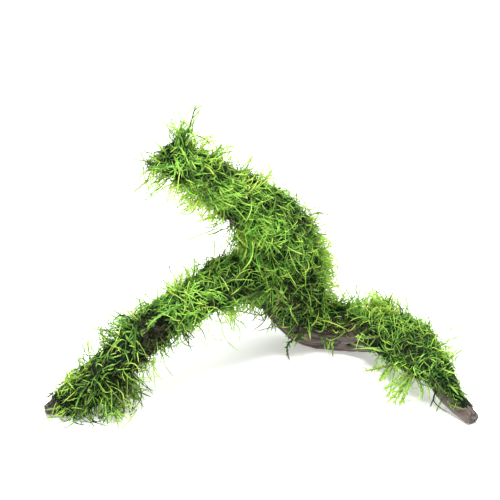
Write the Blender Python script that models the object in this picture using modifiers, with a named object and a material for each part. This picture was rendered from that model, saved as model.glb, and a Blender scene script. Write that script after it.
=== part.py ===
"""Java moss growing on branching driftwood that stands on two feet and its belly.

The driftwood is split at its main fork into an upper branch, a left leg and a right leg, and
the moss is split with it into three mats. Each mat is one closed solid that wraps the wood it
grows on, open on the wood's bare side, with its longer tufts grown into it. +Z is up, +X runs
along the longest extent, and the wood stands on z = 0 with both feet and its belly.
"""

import math
import random

import bmesh
import bpy
from mathutils import Vector, noise
from mathutils.bvhtree import BVHTree

MM = 0.001
COLLECTION = "java_moss_on_driftwood"

# Driving dimensions, in millimetres unless they say otherwise.
GAP = 0.3  # clearance between solids that touch
MAT_GAP = 1.4  # clearance between neighbouring mats
MOSS_OFF_FLOOR = 0.8  # the moss stops this far above the floor, so that the wood carries the load
FRAME_ORIGIN = Vector((7.25, 52.3, 0.0))  # the middle of the footprint, in the routes' coordinates
WOOD_SPACING = 7.5  # between the rings of a limb
WOOD_ROUNDNESS = 4  # bevel resolution: 12 sides
MOSS_SPACING = 7.0
MOSS_ROUNDNESS = 5  # 14 sides
OVERRUN = 0.3  # how far a mat is made past the planes that trim it, in places on its limb
PAST_TIP = 2.6  # how far the moss runs past the end of the upper branch
SLEEVE = 2.4  # thickness of the moss round the twig
TUFT_RADIUS = 2.3  # at the root
TUFT_CLEARANCE = 1.2  # between a tuft and the mats that it doesn't grow on
SHORT_TUFTS = 8  # on each mat, besides the ones that are placed by hand
SKIN_VOXEL = 1.1  # grain at which a mat and its tufts grow together
FACETS_PER_CM2 = 7  # triangles on each square centimetre of a mat
BLOCK = 600.0  # edge of the blocks that split limbs and trim feet
SEED = 7

# The main stem's centre line from the right foot, over the hump and the belly, up past the fork
# to the upper tip, as (x, y, z, wood radius).
STEM = [
    (133.5, -9.5, 3.7, 4.6),
    (126.3, 1.5, 6.5, 5.6),
    (116.4, 12.5, 15.2, 6.4),
    (108.5, 27.0, 23.5, 8.2),
    (96.5, 52.5, 22.0, 9.6),
    (80.6, 71.5, 16.8, 10.4),
    (63.3, 84.0, 12.6, 12.0),
    (46.0, 91.5, 13.0, 13.6),
    (30.6, 90.5, 25.5, 16.0),
    (22.3, 89.0, 43.0, 18.0),
    (22.1, 87.5, 62.0, 17.5),
    (13.5, 76.5, 90.0, 15.5),
    (-0.5, 67.0, 109.5, 12.6),
    (-17.0, 58.0, 125.2, 10.8),
    (-32.0, 49.0, 139.5, 9.4),
    (-42.0, 43.0, 148.0, 8.0),
    (-47.5, 40.5, 152.0, 6.6),
]
FORK = 10.35  # where the stem is split into right leg and upper branch, as a place on that list

LEFT_LEG = [
    (21.0, 89.0, 54.0, 13.5),
    (7.7, 80.0, 57.0, 12.8),
    (-10.7, 64.0, 58.5, 11.8),
    (-30.4, 48.0, 55.6, 10.6),
    (-49.8, 35.0, 49.0, 10.0),
    (-67.1, 25.0, 39.0, 9.6),
    (-82.6, 16.0, 28.0, 9.2),
    (-96.8, 11.0, 14.2, 8.8),
    (-108.5, 6.0, 6.8, 8.0),
    (-116.5, 3.0, 5.1, 6.2),
    (-124.0, 0.0, 4.2, 3.2),
]
LEFT_ROOT = 0.55  # where the left leg's wood begins

# The short twig that stands up near the upper tip.
TWIG = [(-36.5, 47.5, 142.0, 5.2), (-40.4, 45.5, 152.5, 4.3), (-40.3, 44.2, 160.5, 3.0)]

# Each mat's limb and its section at places along it: the thickness of the moss there, the side
# of the wood that it leaves bare, and how far round from there the wood is bare, in degrees.
MATS = {
    "moss_right_leg": ("stem", [
        (0.45, 1.5, (-0.75, -0.25, -0.75), 75),
        (1.40, 1.7, (-0.75, -0.25, -0.75), 75),
        (2.15, 3.6, (-0.60, -0.20, -0.80), 60),
        (2.50, 5.0, (0.00, 0.00, -1.00), 20),
        (3.50, 8.0, (0.00, 0.00, -1.00), 20),
        (4.50, 9.0, (0.00, -0.20, -0.90), 30),
        (5.00, 9.0, (0.00, -0.60, -0.80), 75),
        (6.20, 6.5, (0.00, -0.60, -0.80), 75),
        (7.30, 6.5, (-0.10, -0.55, -0.80), 70),
        (8.10, 8.0, (-0.50, -0.40, -0.80), 40),
        (9.40, 12.0, (-0.50, -0.30, -0.90), 30),
        (FORK, 9.5, (-0.50, -0.30, -0.90), 25),
    ]),
    "moss_upper_branch": ("stem", [
        (FORK, 9.5, (-0.50, -0.30, -0.90), 25),
        (11.30, 5.5, (-0.40, 0.30, -0.85), 35),
        (13.60, 3.8, (-0.40, 0.30, -0.85), 35),
        (16.00, 3.4, (-0.40, 0.30, -0.85), 30),
    ]),
    "moss_left_leg": ("left", [
        (0.70, 7.0, (0.20, 0.10, -1.00), 40),
        (2.60, 5.0, (0.20, 0.10, -1.00), 40),
        (4.50, 3.6, (0.00, 0.30, -1.00), 42),
        (6.90, 3.6, (-0.20, 0.40, -1.00), 45),
        (9.30, 1.8, (-0.20, 0.40, -1.00), 45),
    ]),
}

# Tufts that stand out of the outline, on each limb: where each one ends, and how far along the
# limb from there it is rooted.
TUFTS = {
    "stem": [
        ((-31, 42, 181), -0.2), ((-42, 40, 180), 0.0), ((-46, 40, 174), 0.2),
        ((-62, 36, 153), 0.0), ((-67, 34, 138), -0.1), ((-63, 38, 124), -0.5),
        ((-43, 44, 116), -0.4), ((-43, 50, 98), -0.8), ((-19, 50, 160), 0.3),
        ((-13, 50, 153), 0.2), ((2, 58, 138), 0.3), ((15, 66, 130), 0.2),
        ((-30, 36, 134), 0.2), ((-10, 44, 118), 0.2),
        ((53, 85, 95), 0.2), ((56, 88, 78), 0.1), ((55, 90, 62), 0.0), ((54, 88, 48), 0.1),
        ((10, 66, 22), -0.2), ((26, 58, 14), -0.2), ((20, 50, 52), 0.1), ((34, 54, 74), 0.1),
        ((2, 52, 80), 0.1), ((18, 112, 66), 0.1), ((38, 102, 94), 0.3), ((36, 110, 46), 0.0),
        ((52, 66, 7), 0.1), ((70, 88, 42), 0.0), ((56, 100, 36), 0.1), ((74, 96, 24), 0.0),
        ((81, 78, 50), -0.2), ((93, 66, 51), -0.1), ((82, 22, 3), -0.3), ((98, 12, 6), -0.3),
        ((81, 42, 12), -0.1), ((93, 26, 8), 0.1), ((113, 48, 40), 0.0), ((118, 32, 32), 0.1),
        ((104, 10, 20), 0.1), ((100, 46, 44), 0.1),
        ((140, 18, 37), -0.2), ((132, 20, 38), -0.1), ((128, 10, 24), -0.1),
    ],
    "left": [
        ((-20, 56, 88), 0.2), ((-33, 48, 81), 0.2), ((-42, 44, 72), 0.2), ((-9, 56, 20), -0.1),
        ((-28, 26, 62), 0.1), ((-18, 84, 66), 0.1), ((-52, 22, 40), 0.1), ((-46, 54, 58), 0.1),
        ((-60, 38, 60), 0.4), ((-98, 24, 43), 0.5), ((-104, 18, 31), 0.3), ((-110, 14, 26), 0.3),
        ((-60, 18, 14), -0.3), ((-76, 2, 3), -0.4), ((-53, 34, 21), -0.3), ((-96, -6, 20), 0.1),
        ((-88, 32, 20), 0.2), ((-108, -7, 9), 0.2), ((-77, -20, 2.8), -0.4),
    ],
}


def to_frame(point):
    """A point of the routes, in millimetres, as a place in the part's own frame, in metres."""
    return (Vector(point) - FRAME_ORIGIN) * MM


def from_frame(place):
    return place / MM + FRAME_ORIGIN


def clear_scene():
    for obj in list(bpy.data.objects):
        bpy.data.objects.remove(obj)


def material(name, colour, roughness):
    made = bpy.data.materials.new(name)
    made.use_nodes = True
    shader = made.node_tree.nodes["Principled BSDF"]
    shader.inputs["Base Color"].default_value = (*colour, 1)
    shader.inputs["Roughness"].default_value = roughness
    shader.inputs["Metallic"].default_value = 0
    return made


class Limb:
    """A smooth centre line through hand-placed points, with a radius at each place."""

    def __init__(self, points):
        self.points = [Vector(p) for p in points]
        self.last = len(points) - 1
        self.fine = [self.last * k / 600 for k in range(601)]
        self.centres = [self.at(p)[0] for p in self.fine]

    def at(self, place):
        """(centre, radius) at a place on the list of points, on a Catmull-Rom curve."""
        place = min(max(place, 0.0), float(self.last))
        i = min(int(place), self.last - 1)
        t = place - i
        a, b, c, d = (self.points[min(max(k, 0), self.last)] for k in range(i - 1, i + 3))
        rise = (c - a) * t
        bend = (2 * a - 5 * b + 4 * c - d) * t**2
        twist = (3 * b - a - 3 * c + d) * t**3
        mixed = 0.5 * (2 * b + rise + bend + twist)
        return mixed.xyz, mixed.w

    def tangent(self, place):
        ahead, behind = self.at(place + 0.05)[0], self.at(place - 0.05)[0]
        return (ahead - behind).normalized()

    def places(self, start, stop, spacing):
        """Places from start to stop, about spacing millimetres apart."""
        fine = [start + (stop - start) * k / 300 for k in range(301)]
        centres = [self.at(p)[0] for p in fine]
        lengths = [0.0]
        for near, far in zip(centres, centres[1:]):
            lengths.append(lengths[-1] + (far - near).length)
        count = max(2, round(lengths[-1] / spacing))
        found = []
        for k in range(count + 1):
            wanted = lengths[-1] * k / count + 1e-6
            found.append(fine[max(i for i, done in enumerate(lengths) if done <= wanted)])
        return found

    def nearest(self, point):
        """The place on the limb whose centre is nearest to a point."""
        best = min(range(len(self.fine)), key=lambda k: (self.centres[k] - point).length_squared)
        return self.fine[best]

    def skin(self, place, outward):
        """The weathered wood's radius at a place, in a direction away from the centre line."""
        angle = math.atan2(outward.z, outward.dot(Vector((0.6, 0.8, 0))))
        lobes = 0.07 * math.cos(3 * angle + 0.9 * place)
        lumps = 0.16 * noise.noise(outward * 1.4 + Vector((0, 0, place * 0.9)))
        return self.at(place)[1] * (1 + lobes + lumps)


LIMBS = {"stem": Limb(STEM), "left": Limb(LEFT_LEG), "twig": Limb(TWIG)}


# ---- Mesh work -------------------------------------------------------------------------------


def evaluated_mesh(obj):
    return bpy.data.meshes.new_from_object(
        obj.evaluated_get(bpy.context.evaluated_depsgraph_get())
    )


def apply_modifiers(obj):
    mesh = evaluated_mesh(obj)
    obj.modifiers.clear()
    obj.data = mesh


def as_mesh(source, name):
    """A new mesh object with the source's evaluated shape, its caps and doubles welded."""
    made = bpy.data.objects.new(name, evaluated_mesh(source))
    made.matrix_world = source.matrix_world
    bpy.context.scene.collection.objects.link(made)
    shape = bmesh.new()
    shape.from_mesh(made.data)
    bmesh.ops.remove_doubles(shape, verts=shape.verts, dist=0.01 * MM)
    bmesh.ops.recalc_face_normals(shape, faces=shape.faces)
    shape.to_mesh(made.data)
    shape.free()
    bpy.data.objects.remove(source)
    return made


def tube(name, rings, roundness):
    """A closed mesh tube through (centre, radius) rings, in millimetres."""
    curve = bpy.data.curves.new(name, "CURVE")
    curve.dimensions = "3D"
    curve.bevel_depth = MM
    curve.bevel_resolution = roundness
    curve.use_fill_caps = True
    spline = curve.splines.new("POLY")
    spline.points.add(len(rings) - 1)
    for point, (centre, radius) in zip(spline.points, rings):
        point.co = (*to_frame(centre), 1)
        point.radius = radius
    guide = bpy.data.objects.new(name + "_guide", curve)
    bpy.context.scene.collection.objects.link(guide)
    return as_mesh(guide, name)


def triangulate(obj, diagonals="BEAUTY"):
    shape = bmesh.new()
    shape.from_mesh(obj.data)
    bmesh.ops.triangulate(shape, faces=shape.faces, quad_method=diagonals)
    shape.to_mesh(obj.data)
    shape.free()


def combine(target, other, operation):
    """Cuts the other mesh from the target, or joins it on, and applies the result."""
    triangulate(target)
    triangulate(other)
    boolean = target.modifiers.new("combine", "BOOLEAN")
    boolean.operation = operation
    boolean.solver = "EXACT"
    boolean.use_self = True
    boolean.object = other
    apply_modifiers(target)
    bpy.data.objects.remove(other)


def grown(obj, by):
    """A copy of a solid that is larger all round, as a cutter."""
    copy = bpy.data.objects.new(obj.name + "_grown", obj.data.copy())
    bpy.context.scene.collection.objects.link(copy)
    swell = copy.modifiers.new("swell", "DISPLACE")
    swell.mid_level = 0
    swell.strength = by * MM
    return as_mesh(copy, obj.name + "_cutter")


def keep_largest(obj):
    """Deletes the crumbs that a cut can leave beside the main body."""
    shape = bmesh.new()
    shape.from_mesh(obj.data)
    unseen = set(shape.verts)
    islands = []
    while unseen:
        stack = [unseen.pop()]
        island = set(stack)
        while stack:
            for edge in stack.pop().link_edges:
                for vert in edge.verts:
                    if vert in unseen:
                        unseen.discard(vert)
                        island.add(vert)
                        stack.append(vert)
        islands.append(island)
    largest = max(islands, key=len)
    crumbs = [vert for vert in shape.verts if vert not in largest]
    bmesh.ops.delete(shape, geom=crumbs, context="VERTS")
    shape.to_mesh(obj.data)
    shape.free()


def block(point, direction):
    """A block that fills everything beyond a plane, on the side that the direction points to."""
    bpy.ops.mesh.primitive_cube_add(size=BLOCK * MM)
    made = bpy.context.active_object
    made.rotation_mode = "QUATERNION"
    made.rotation_quaternion = Vector(direction).to_track_quat("Z", "Y")
    made.location = to_frame(Vector(point) + Vector(direction).normalized() * BLOCK / 2)
    bpy.ops.object.transform_apply(location=True, rotation=True, scale=True)
    return made


def cut_beyond(obj, limb, place, ahead, gap):
    """Trims a solid square across a limb, on one side of a place, and leaves half a gap there."""
    direction = limb.tangent(place) * (1 if ahead else -1)
    combine(obj, block(limb.at(place)[0] - direction * gap / 2, direction), "DIFFERENCE")


def cut_floor(obj, height):
    combine(obj, block((0, 0, height), (0, 0, -1)), "DIFFERENCE")


# ---- Driftwood -------------------------------------------------------------------------------


def wood_tube(name, limb, swell=0.0):
    """A whole limb of wood, or a cutter that is larger than it all round by the swell."""
    rings = [[*limb.at(p)] for p in limb.places(0, limb.last, WOOD_SPACING)]
    rings[0][0] = rings[0][0] - limb.tangent(0) * swell
    rings[-1][0] = rings[-1][0] + limb.tangent(limb.last) * swell
    made = tube(name, rings, WOOD_ROUNDNESS)
    for vert in made.data.vertices:
        point = from_frame(vert.co)
        place = limb.nearest(point)
        centre, radius = limb.at(place)
        outward = point - centre
        if outward.length > 0.3 * radius:
            stretch = (limb.skin(place, outward.normalized()) + swell) / radius
            vert.co = to_frame(centre + outward * stretch)
    triangulate(made, "FIXED")
    return made


def build_driftwood():
    stem, left, twig = LIMBS["stem"], LIMBS["left"], LIMBS["twig"]
    right_leg = wood_tube("driftwood_right_leg", stem)
    cut_beyond(right_leg, stem, FORK, True, GAP)
    upper = wood_tube("driftwood_upper_branch", stem)
    cut_beyond(upper, stem, FORK, False, GAP)
    combine(upper, wood_tube("twig", twig), "UNION")
    left_leg = wood_tube("driftwood_left_leg", left)
    cut_beyond(left_leg, left, LEFT_ROOT, False, 0)
    combine(left_leg, wood_tube("stem_cutter", stem, GAP), "DIFFERENCE")
    for piece in (right_leg, upper, left_leg):
        cut_floor(piece, 0)
        keep_largest(piece)
    return [right_leg, upper, left_leg]


# ---- Moss ------------------------------------------------------------------------------------


def span(mat):
    sections = MATS[mat][1]
    return sections[0][0], sections[-1][0]


def thickness(mat, place, outward):
    """The mat's thickness over the wood, below zero where the wood is bare."""
    sections = MATS[mat][1]
    place = min(max(place, sections[0][0]), sections[-1][0])
    i = max(k for k, section in enumerate(sections[:-1]) if section[0] <= place)
    (start, thick, bare, width), (stop, next_thick, next_bare, next_width) = sections[i : i + 2]
    t = (place - start) / (stop - start)
    outward = outward.normalized()
    lumps = noise.noise(outward * 1.7 + Vector((place * 1.9, 0, 0)))
    thick = (thick + (next_thick - thick) * t) * (1 + 0.8 * lumps)
    away = math.degrees(outward.angle(Vector(bare).lerp(Vector(next_bare), t)))
    beyond = away - (width + (next_width - width) * t)
    if beyond < 0:
        return -2.5
    return min(thick, -2.5 + beyond * 0.35)


def mat_tube(mat):
    """A mat's base as a solid tube, before the wood is cut out of it."""
    limb = LIMBS[MATS[mat][0]]
    start, stop = span(mat)
    places = limb.places(max(start - OVERRUN, 0), min(stop + OVERRUN, limb.last), MOSS_SPACING)
    rings = [(limb.at(p)[0], limb.at(p)[1] + 4) for p in places]
    if stop == limb.last:
        end, forward, wide = limb.at(stop)[0], limb.tangent(stop), rings[-1][1]
        rings[-1] = (end, wide + 1)
        rings.append((end + forward * PAST_TIP * 0.6, (wide + 1) * 0.8))
        rings.append((end + forward * PAST_TIP, (wide + 1) * 0.4))
    made = tube(mat, rings, MOSS_ROUNDNESS)
    for vert in made.data.vertices:
        point = from_frame(vert.co)
        place = limb.nearest(point)
        centre = limb.at(place)[0]
        outward = point - centre
        if place >= limb.last and outward.dot(limb.tangent(limb.last)) > 1:
            vert.co = to_frame(centre + outward * (1 + 0.25 * noise.noise(outward * 0.3)))
            continue
        reach = limb.skin(place, outward.normalized()) + thickness(mat, place, outward)
        vert.co = to_frame(centre + outward.normalized() * reach)
    return made


def twig_sleeve():
    """The moss round the short twig."""
    twig = LIMBS["twig"]
    rings = [(twig.at(p)[0], twig.at(p)[1] + SLEEVE) for p in twig.places(0, twig.last, 5)]
    rings.append((twig.at(twig.last)[0] + twig.tangent(twig.last) * SLEEVE, rings[-1][1] * 0.7))
    return tube("sleeve", rings, MOSS_ROUNDNESS)


class Tuft:
    """A tapering lock of fronds that curves out of a mat to its tip, and forks on one side."""

    def __init__(self, mat, place, outward, tip, side):
        limb = LIMBS[MATS[mat][0]]
        outward = outward.normalized()
        depth = max(0.6, thickness(mat, place, outward))
        root = limb.at(place)[0] + outward * (limb.skin(place, outward) + depth * 0.4)
        shoulder = root + outward * (depth * 0.6 + 1.5) + (tip - root) * 0.15
        bend = (shoulder + tip) / 2 + Vector((0, 0, 0.12 * (tip - root).length))
        reach = tip - shoulder
        aside = reach.cross(outward + Vector((0.1, 0.2, 0.3))).normalized() * side
        fork = (shoulder + bend) / 2
        fork_tip = shoulder + reach * 0.72 + aside * reach.length * 0.3
        self.mat = mat
        self.main = [
            (root, TUFT_RADIUS), (shoulder, TUFT_RADIUS * 0.85), (fork, TUFT_RADIUS * 0.72),
            ((bend + tip) / 2, TUFT_RADIUS * 0.5), (tip, TUFT_RADIUS * 0.4),
        ]
        self.fork = [
            (fork, TUFT_RADIUS * 0.66), ((fork + fork_tip) / 2 + aside * 0.6, TUFT_RADIUS * 0.52),
            (fork_tip, TUFT_RADIUS * 0.4),
        ]

    def samples(self):
        """Points along the tuft outside its own mat, each with the tuft's radius there."""
        for rings in (self.main[1:], self.fork):
            for (near, near_radius), (far, far_radius) in zip(rings, rings[1:]):
                for k in range(4):
                    yield near.lerp(far, k / 4), near_radius + (far_radius - near_radius) * k / 4
            yield rings[-1]

    def tubes(self):
        return [tube("tuft", self.main, 1), tube("fork", self.fork, 1)]


def is_inside(tree, place):
    """Whether a place is in a closed solid: a ray out of it then meets an odd number of faces."""
    direction = Vector((0.31, 0.52, 0.79))
    crossings = 0
    spot = tree.ray_cast(place, direction)[0]
    while spot is not None and crossings < 50:
        crossings += 1
        spot = tree.ray_cast(spot + direction * 0.01 * MM, direction)[0]
    return crossings % 2 == 1


def has_room(tuft, trees, placed):
    """Whether a tuft is clear of the floor, the wood, the other mats and their tufts."""
    for point, radius in tuft.samples():
        place = to_frame(point)
        if point.z - radius < MOSS_OFF_FLOOR:
            return False
        for name, tree in trees.items():
            if name == tuft.mat:
                continue
            if is_inside(tree, place):
                return False
            if name in MATS and tree.find_nearest(place)[3] < (radius + TUFT_CLEARANCE) * MM:
                return False
        for other in placed:
            if other.mat != tuft.mat:
                for spot, wide in other.samples():
                    if (spot - point).length < radius + wide + TUFT_CLEARANCE:
                        return False
    return True


def hand_placed_tuft(limb_name, tip, lean, side):
    limb, tip = LIMBS[limb_name], Vector(tip)
    place = limb.nearest(tip) + lean
    mats = [mat for mat in MATS if MATS[mat][0] == limb_name and place <= span(mat)[1]]
    mat = mats[0] if mats else "moss_" + ("upper_branch" if limb_name == "stem" else "left_leg")
    place = min(max(place, span(mat)[0] + 0.15), span(mat)[1] - 0.15)
    outward = tip - limb.at(place)[0]
    outward -= limb.tangent(place) * outward.dot(limb.tangent(place))
    return Tuft(mat, place, outward, tip, side)


def short_tuft(mat, rng):
    """A short tuft anywhere on a mat, or nothing where the moss is thin."""
    limb = LIMBS[MATS[mat][0]]
    place = rng.uniform(span(mat)[0] + 0.2, span(mat)[1] - 0.2)
    forward = limb.tangent(place)
    outward = Vector([rng.uniform(-1, 1) for axis in range(3)])
    outward -= forward * outward.dot(forward)
    outward.normalize()
    surface = limb.skin(place, outward) + thickness(mat, place, outward)
    sweep = forward * rng.uniform(-5, 5) + Vector((0, 0, rng.uniform(-3, 2)))
    tip = limb.at(place)[0] + outward * (surface + rng.uniform(5, 9)) + sweep
    if thickness(mat, place, outward) < 1.5:
        return None
    return Tuft(mat, place, outward, tip, rng.choice((-1, 1)))


def grow_tufts(bases, wood):
    """The tufts placed by hand, then short ones wherever there is room."""
    trees = {}
    for obj in [*bases.values(), *wood]:
        shape = bmesh.new()
        shape.from_mesh(obj.data)
        trees[obj.name] = BVHTree.FromBMesh(shape)
        shape.free()
    placed = []
    for limb_name, wanted in TUFTS.items():
        for tip, lean in wanted:
            tuft = hand_placed_tuft(limb_name, tip, lean, 1 if len(placed) % 2 else -1)
            if has_room(tuft, trees, placed):
                placed.append(tuft)
    rng = random.Random(SEED)
    for mat in MATS:
        tries = [short_tuft(mat, rng) for attempt in range(60)]
        grown_here = 0
        for tuft in tries:
            if tuft and grown_here < SHORT_TUFTS and has_room(tuft, trees, placed):
                placed.append(tuft)
                grown_here += 1
    return placed


def fuse(base, tufts):
    """Grows a mat and its tufts together into one skin, with fewer and larger facets."""
    bpy.ops.object.select_all(action="DESELECT")
    for obj in [base, *tufts]:
        obj.select_set(True)
    bpy.context.view_layer.objects.active = base
    bpy.ops.object.join()
    skin = base.modifiers.new("skin", "REMESH")
    skin.mode = "VOXEL"
    skin.voxel_size = SKIN_VOXEL * MM
    apply_modifiers(base)
    triangulate(base)
    area = sum(face.area for face in base.data.polygons) / (10 * MM) ** 2
    facets = base.modifiers.new("facets", "DECIMATE")
    facets.ratio = FACETS_PER_CM2 * area / len(base.data.polygons)
    apply_modifiers(base)


def build_moss(wood):
    bases = {}
    for mat, (limb_name, _) in MATS.items():
        limb = LIMBS[limb_name]
        start, stop = span(mat)
        base = mat_tube(mat)
        if mat != "moss_left_leg":
            cut_beyond(base, limb, start, False, MAT_GAP)
        if stop < limb.last:
            cut_beyond(base, limb, stop, True, MAT_GAP)
        bases[mat] = base
    tufts = grow_tufts(bases, wood)
    for mat, base in bases.items():
        grown_on = [made for tuft in tufts if tuft.mat == mat for made in tuft.tubes()]
        if mat == "moss_upper_branch":
            grown_on.append(twig_sleeve())
        fuse(base, grown_on)
    for mat, base in bases.items():
        if mat == "moss_left_leg":
            for neighbour in ("moss_right_leg", "moss_upper_branch"):
                combine(base, grown(bases[neighbour], GAP * 2), "DIFFERENCE")
        for limb in LIMBS.values():
            combine(base, wood_tube("wood_cutter", limb, GAP), "DIFFERENCE")
        cut_floor(base, MOSS_OFF_FLOOR)
        keep_largest(base)
    return list(bases.values())


def finish(pieces, made_of):
    """Gives each piece its material and shading, and puts it in the part's collection."""
    collection = bpy.data.collections.new(COLLECTION)
    bpy.context.scene.collection.children.link(collection)
    for piece in pieces:
        piece.data.materials.clear()
        piece.data.materials.append(made_of)
        piece.data.shade_smooth()
        piece.data.set_sharp_from_angle(angle=math.radians(60))
        bpy.context.scene.collection.objects.unlink(piece)
        collection.objects.link(piece)


def main():
    clear_scene()
    wood = build_driftwood()
    moss = build_moss(wood)
    finish(wood, material("wet_driftwood", (0.085, 0.062, 0.047), 0.6))
    finish(moss, material("java_moss", (0.085, 0.2, 0.02), 0.85))


main()
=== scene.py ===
"""Java moss growing on branching driftwood, on a plain white floor.

The wood is one weathered root with fissures along its grain. The moss is a dark bed on the wood
with thousands of small leafy fronds and fine threads growing out of it.
"""

import math

import bmesh
import bpy
import numpy as np
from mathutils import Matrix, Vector, noise
from mathutils.bvhtree import BVHTree


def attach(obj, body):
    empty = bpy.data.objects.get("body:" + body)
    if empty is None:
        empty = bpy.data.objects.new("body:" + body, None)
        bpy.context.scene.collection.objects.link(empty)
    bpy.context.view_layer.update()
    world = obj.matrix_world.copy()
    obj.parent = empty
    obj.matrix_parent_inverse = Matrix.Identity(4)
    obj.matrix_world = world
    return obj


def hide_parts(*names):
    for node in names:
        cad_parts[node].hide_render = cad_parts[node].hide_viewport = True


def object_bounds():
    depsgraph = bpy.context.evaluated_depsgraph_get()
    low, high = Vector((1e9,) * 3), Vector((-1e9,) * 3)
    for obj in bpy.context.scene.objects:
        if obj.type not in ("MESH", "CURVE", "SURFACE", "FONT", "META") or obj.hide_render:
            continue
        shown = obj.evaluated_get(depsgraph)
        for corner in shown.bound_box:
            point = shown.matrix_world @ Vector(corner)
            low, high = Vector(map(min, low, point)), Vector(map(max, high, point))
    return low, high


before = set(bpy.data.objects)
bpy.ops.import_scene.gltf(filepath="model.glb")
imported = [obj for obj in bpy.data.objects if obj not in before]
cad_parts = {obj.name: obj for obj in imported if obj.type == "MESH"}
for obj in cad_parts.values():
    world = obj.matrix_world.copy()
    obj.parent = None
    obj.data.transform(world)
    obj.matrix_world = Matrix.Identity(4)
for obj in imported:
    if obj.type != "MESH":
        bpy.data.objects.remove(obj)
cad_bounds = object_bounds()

MM = 0.001
SEED = 11
UP = np.array((0.0, 0.0, 1.0))

# How far strands may reach past the solids, as a share of each side of their box.
PAST_SOLIDS = 0.024
# In millimetres: how deep strands are rooted in the bed, the strand length that the lengths of
# threads are given for, and the width from which a strand in STRANDS is toothed and branched.
ROOT_DEPTH, USUAL_LENGTH, BROAD = 0.8, 12, 1.3
# How deep the teeth of locks and tufts are, against their width.
LOOSE_TOOTH = 0.3

WOOD = ("driftwood_left_leg", "driftwood_right_leg", "driftwood_upper_branch")
MOSS = ("moss_left_leg", "moss_right_leg", "moss_upper_branch")

# The routes below are in millimetres, from a corner of the layout. This is the middle of the
# footprint, which is the origin of everything that is made here.
MIDDLE = np.array((7.25, 52.3, 0.0))

# The main stem's centre line, from the right foot over the hump and the belly and up past the
# fork to the upper tip, as (x, y, z, radius).
STEM = [
    (133.5, -9.5, 3.7, 4.6), (126.3, 1.5, 6.5, 5.6), (116.4, 12.5, 15.2, 6.4),
    (108.5, 27.0, 23.5, 8.2), (96.5, 52.5, 22.0, 9.6), (80.6, 71.5, 16.8, 10.4),
    (63.3, 84.0, 12.6, 12.0), (46.0, 91.5, 13.0, 13.6), (30.6, 90.5, 25.5, 16.0),
    (22.3, 89.0, 43.0, 18.0), (22.1, 87.5, 62.0, 17.5), (13.5, 76.5, 90.0, 15.5),
    (-0.5, 67.0, 109.5, 12.6), (-17.0, 58.0, 125.2, 10.8), (-32.0, 49.0, 139.5, 9.4),
    (-42.0, 43.0, 148.0, 8.0), (-47.5, 40.5, 152.0, 6.6),
]
LEFT_LEG = [
    (21.0, 89.0, 54.0, 13.5), (7.7, 80.0, 57.0, 12.8), (-10.7, 64.0, 58.5, 11.8),
    (-30.4, 48.0, 55.6, 10.6), (-49.8, 35.0, 49.0, 10.0), (-67.1, 25.0, 39.0, 9.6),
    (-82.6, 16.0, 28.0, 9.2), (-96.8, 11.0, 14.2, 8.8), (-108.5, 6.0, 6.8, 8.0),
    (-116.5, 3.0, 5.1, 6.2), (-124.0, 0.0, 4.2, 3.2),
]
TWIG = [(-36.5, 47.5, 142.0, 5.2), (-40.4, 45.5, 152.5, 4.3), (-40.3, 44.2, 160.5, 3.0)]

# Where the locks of moss that stand out of the outline end, and how far along the limb from
# there each one is rooted.
LOCKS = {
    "stem": [
        ((-31, 42, 181), -0.2), ((-42, 40, 180), 0.0), ((-46, 40, 174), 0.2),
        ((-62, 36, 153), 0.0), ((-63, 38, 124), -0.5),
        ((-43, 44, 116), -0.4), ((-43, 50, 98), -0.8), ((-19, 50, 160), 0.3),
        ((-13, 50, 153), 0.2), ((2, 58, 138), 0.3), ((15, 66, 130), 0.2),
        ((-30, 36, 134), 0.2), ((-10, 44, 118), 0.2),
        ((53, 85, 95), 0.2), ((56, 88, 78), 0.1), ((55, 90, 62), 0.0), ((54, 88, 48), 0.1),
        ((10, 66, 22), -0.2), ((26, 58, 14), -0.2), ((20, 50, 52), 0.1), ((34, 54, 74), 0.1),
        ((2, 52, 80), 0.1), ((18, 112, 66), 0.1), ((38, 102, 94), 0.3), ((36, 110, 46), 0.0),
        ((52, 66, 7), 0.1), ((70, 88, 42), 0.0), ((56, 100, 36), 0.1), ((74, 96, 24), 0.0),
        ((81, 78, 50), -0.2), ((93, 66, 51), -0.1), ((82, 22, 3), -0.3), ((113, 48, 40), 0.0),
        ((118, 32, 32), 0.1),
        ((104, 10, 20), 0.1), ((100, 46, 44), 0.1), ((132, 20, 38), -0.1),
    ],
    "left": [
        ((-20, 56, 88), 0.2), ((-33, 48, 81), 0.2), ((-42, 44, 72), 0.2), ((-9, 56, 20), -0.1),
        ((-28, 26, 62), 0.1), ((-18, 84, 66), 0.1), ((-52, 22, 40), 0.1), ((-46, 54, 58), 0.1),
        ((-60, 38, 60), 0.4), ((-98, 24, 43), 0.5), ((-104, 18, 31), 0.3), ((-110, 14, 26), 0.3),
        ((-60, 18, 14), -0.3), ((-76, 2, 3), -0.4), ((-53, 34, 21), -0.3), ((-96, -6, 20), 0.1),
        ((-88, 32, 20), 0.2), ((-108, -7, 9), 0.2), ((-77, -20, 2.8), -0.4),
    ],
}

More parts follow.
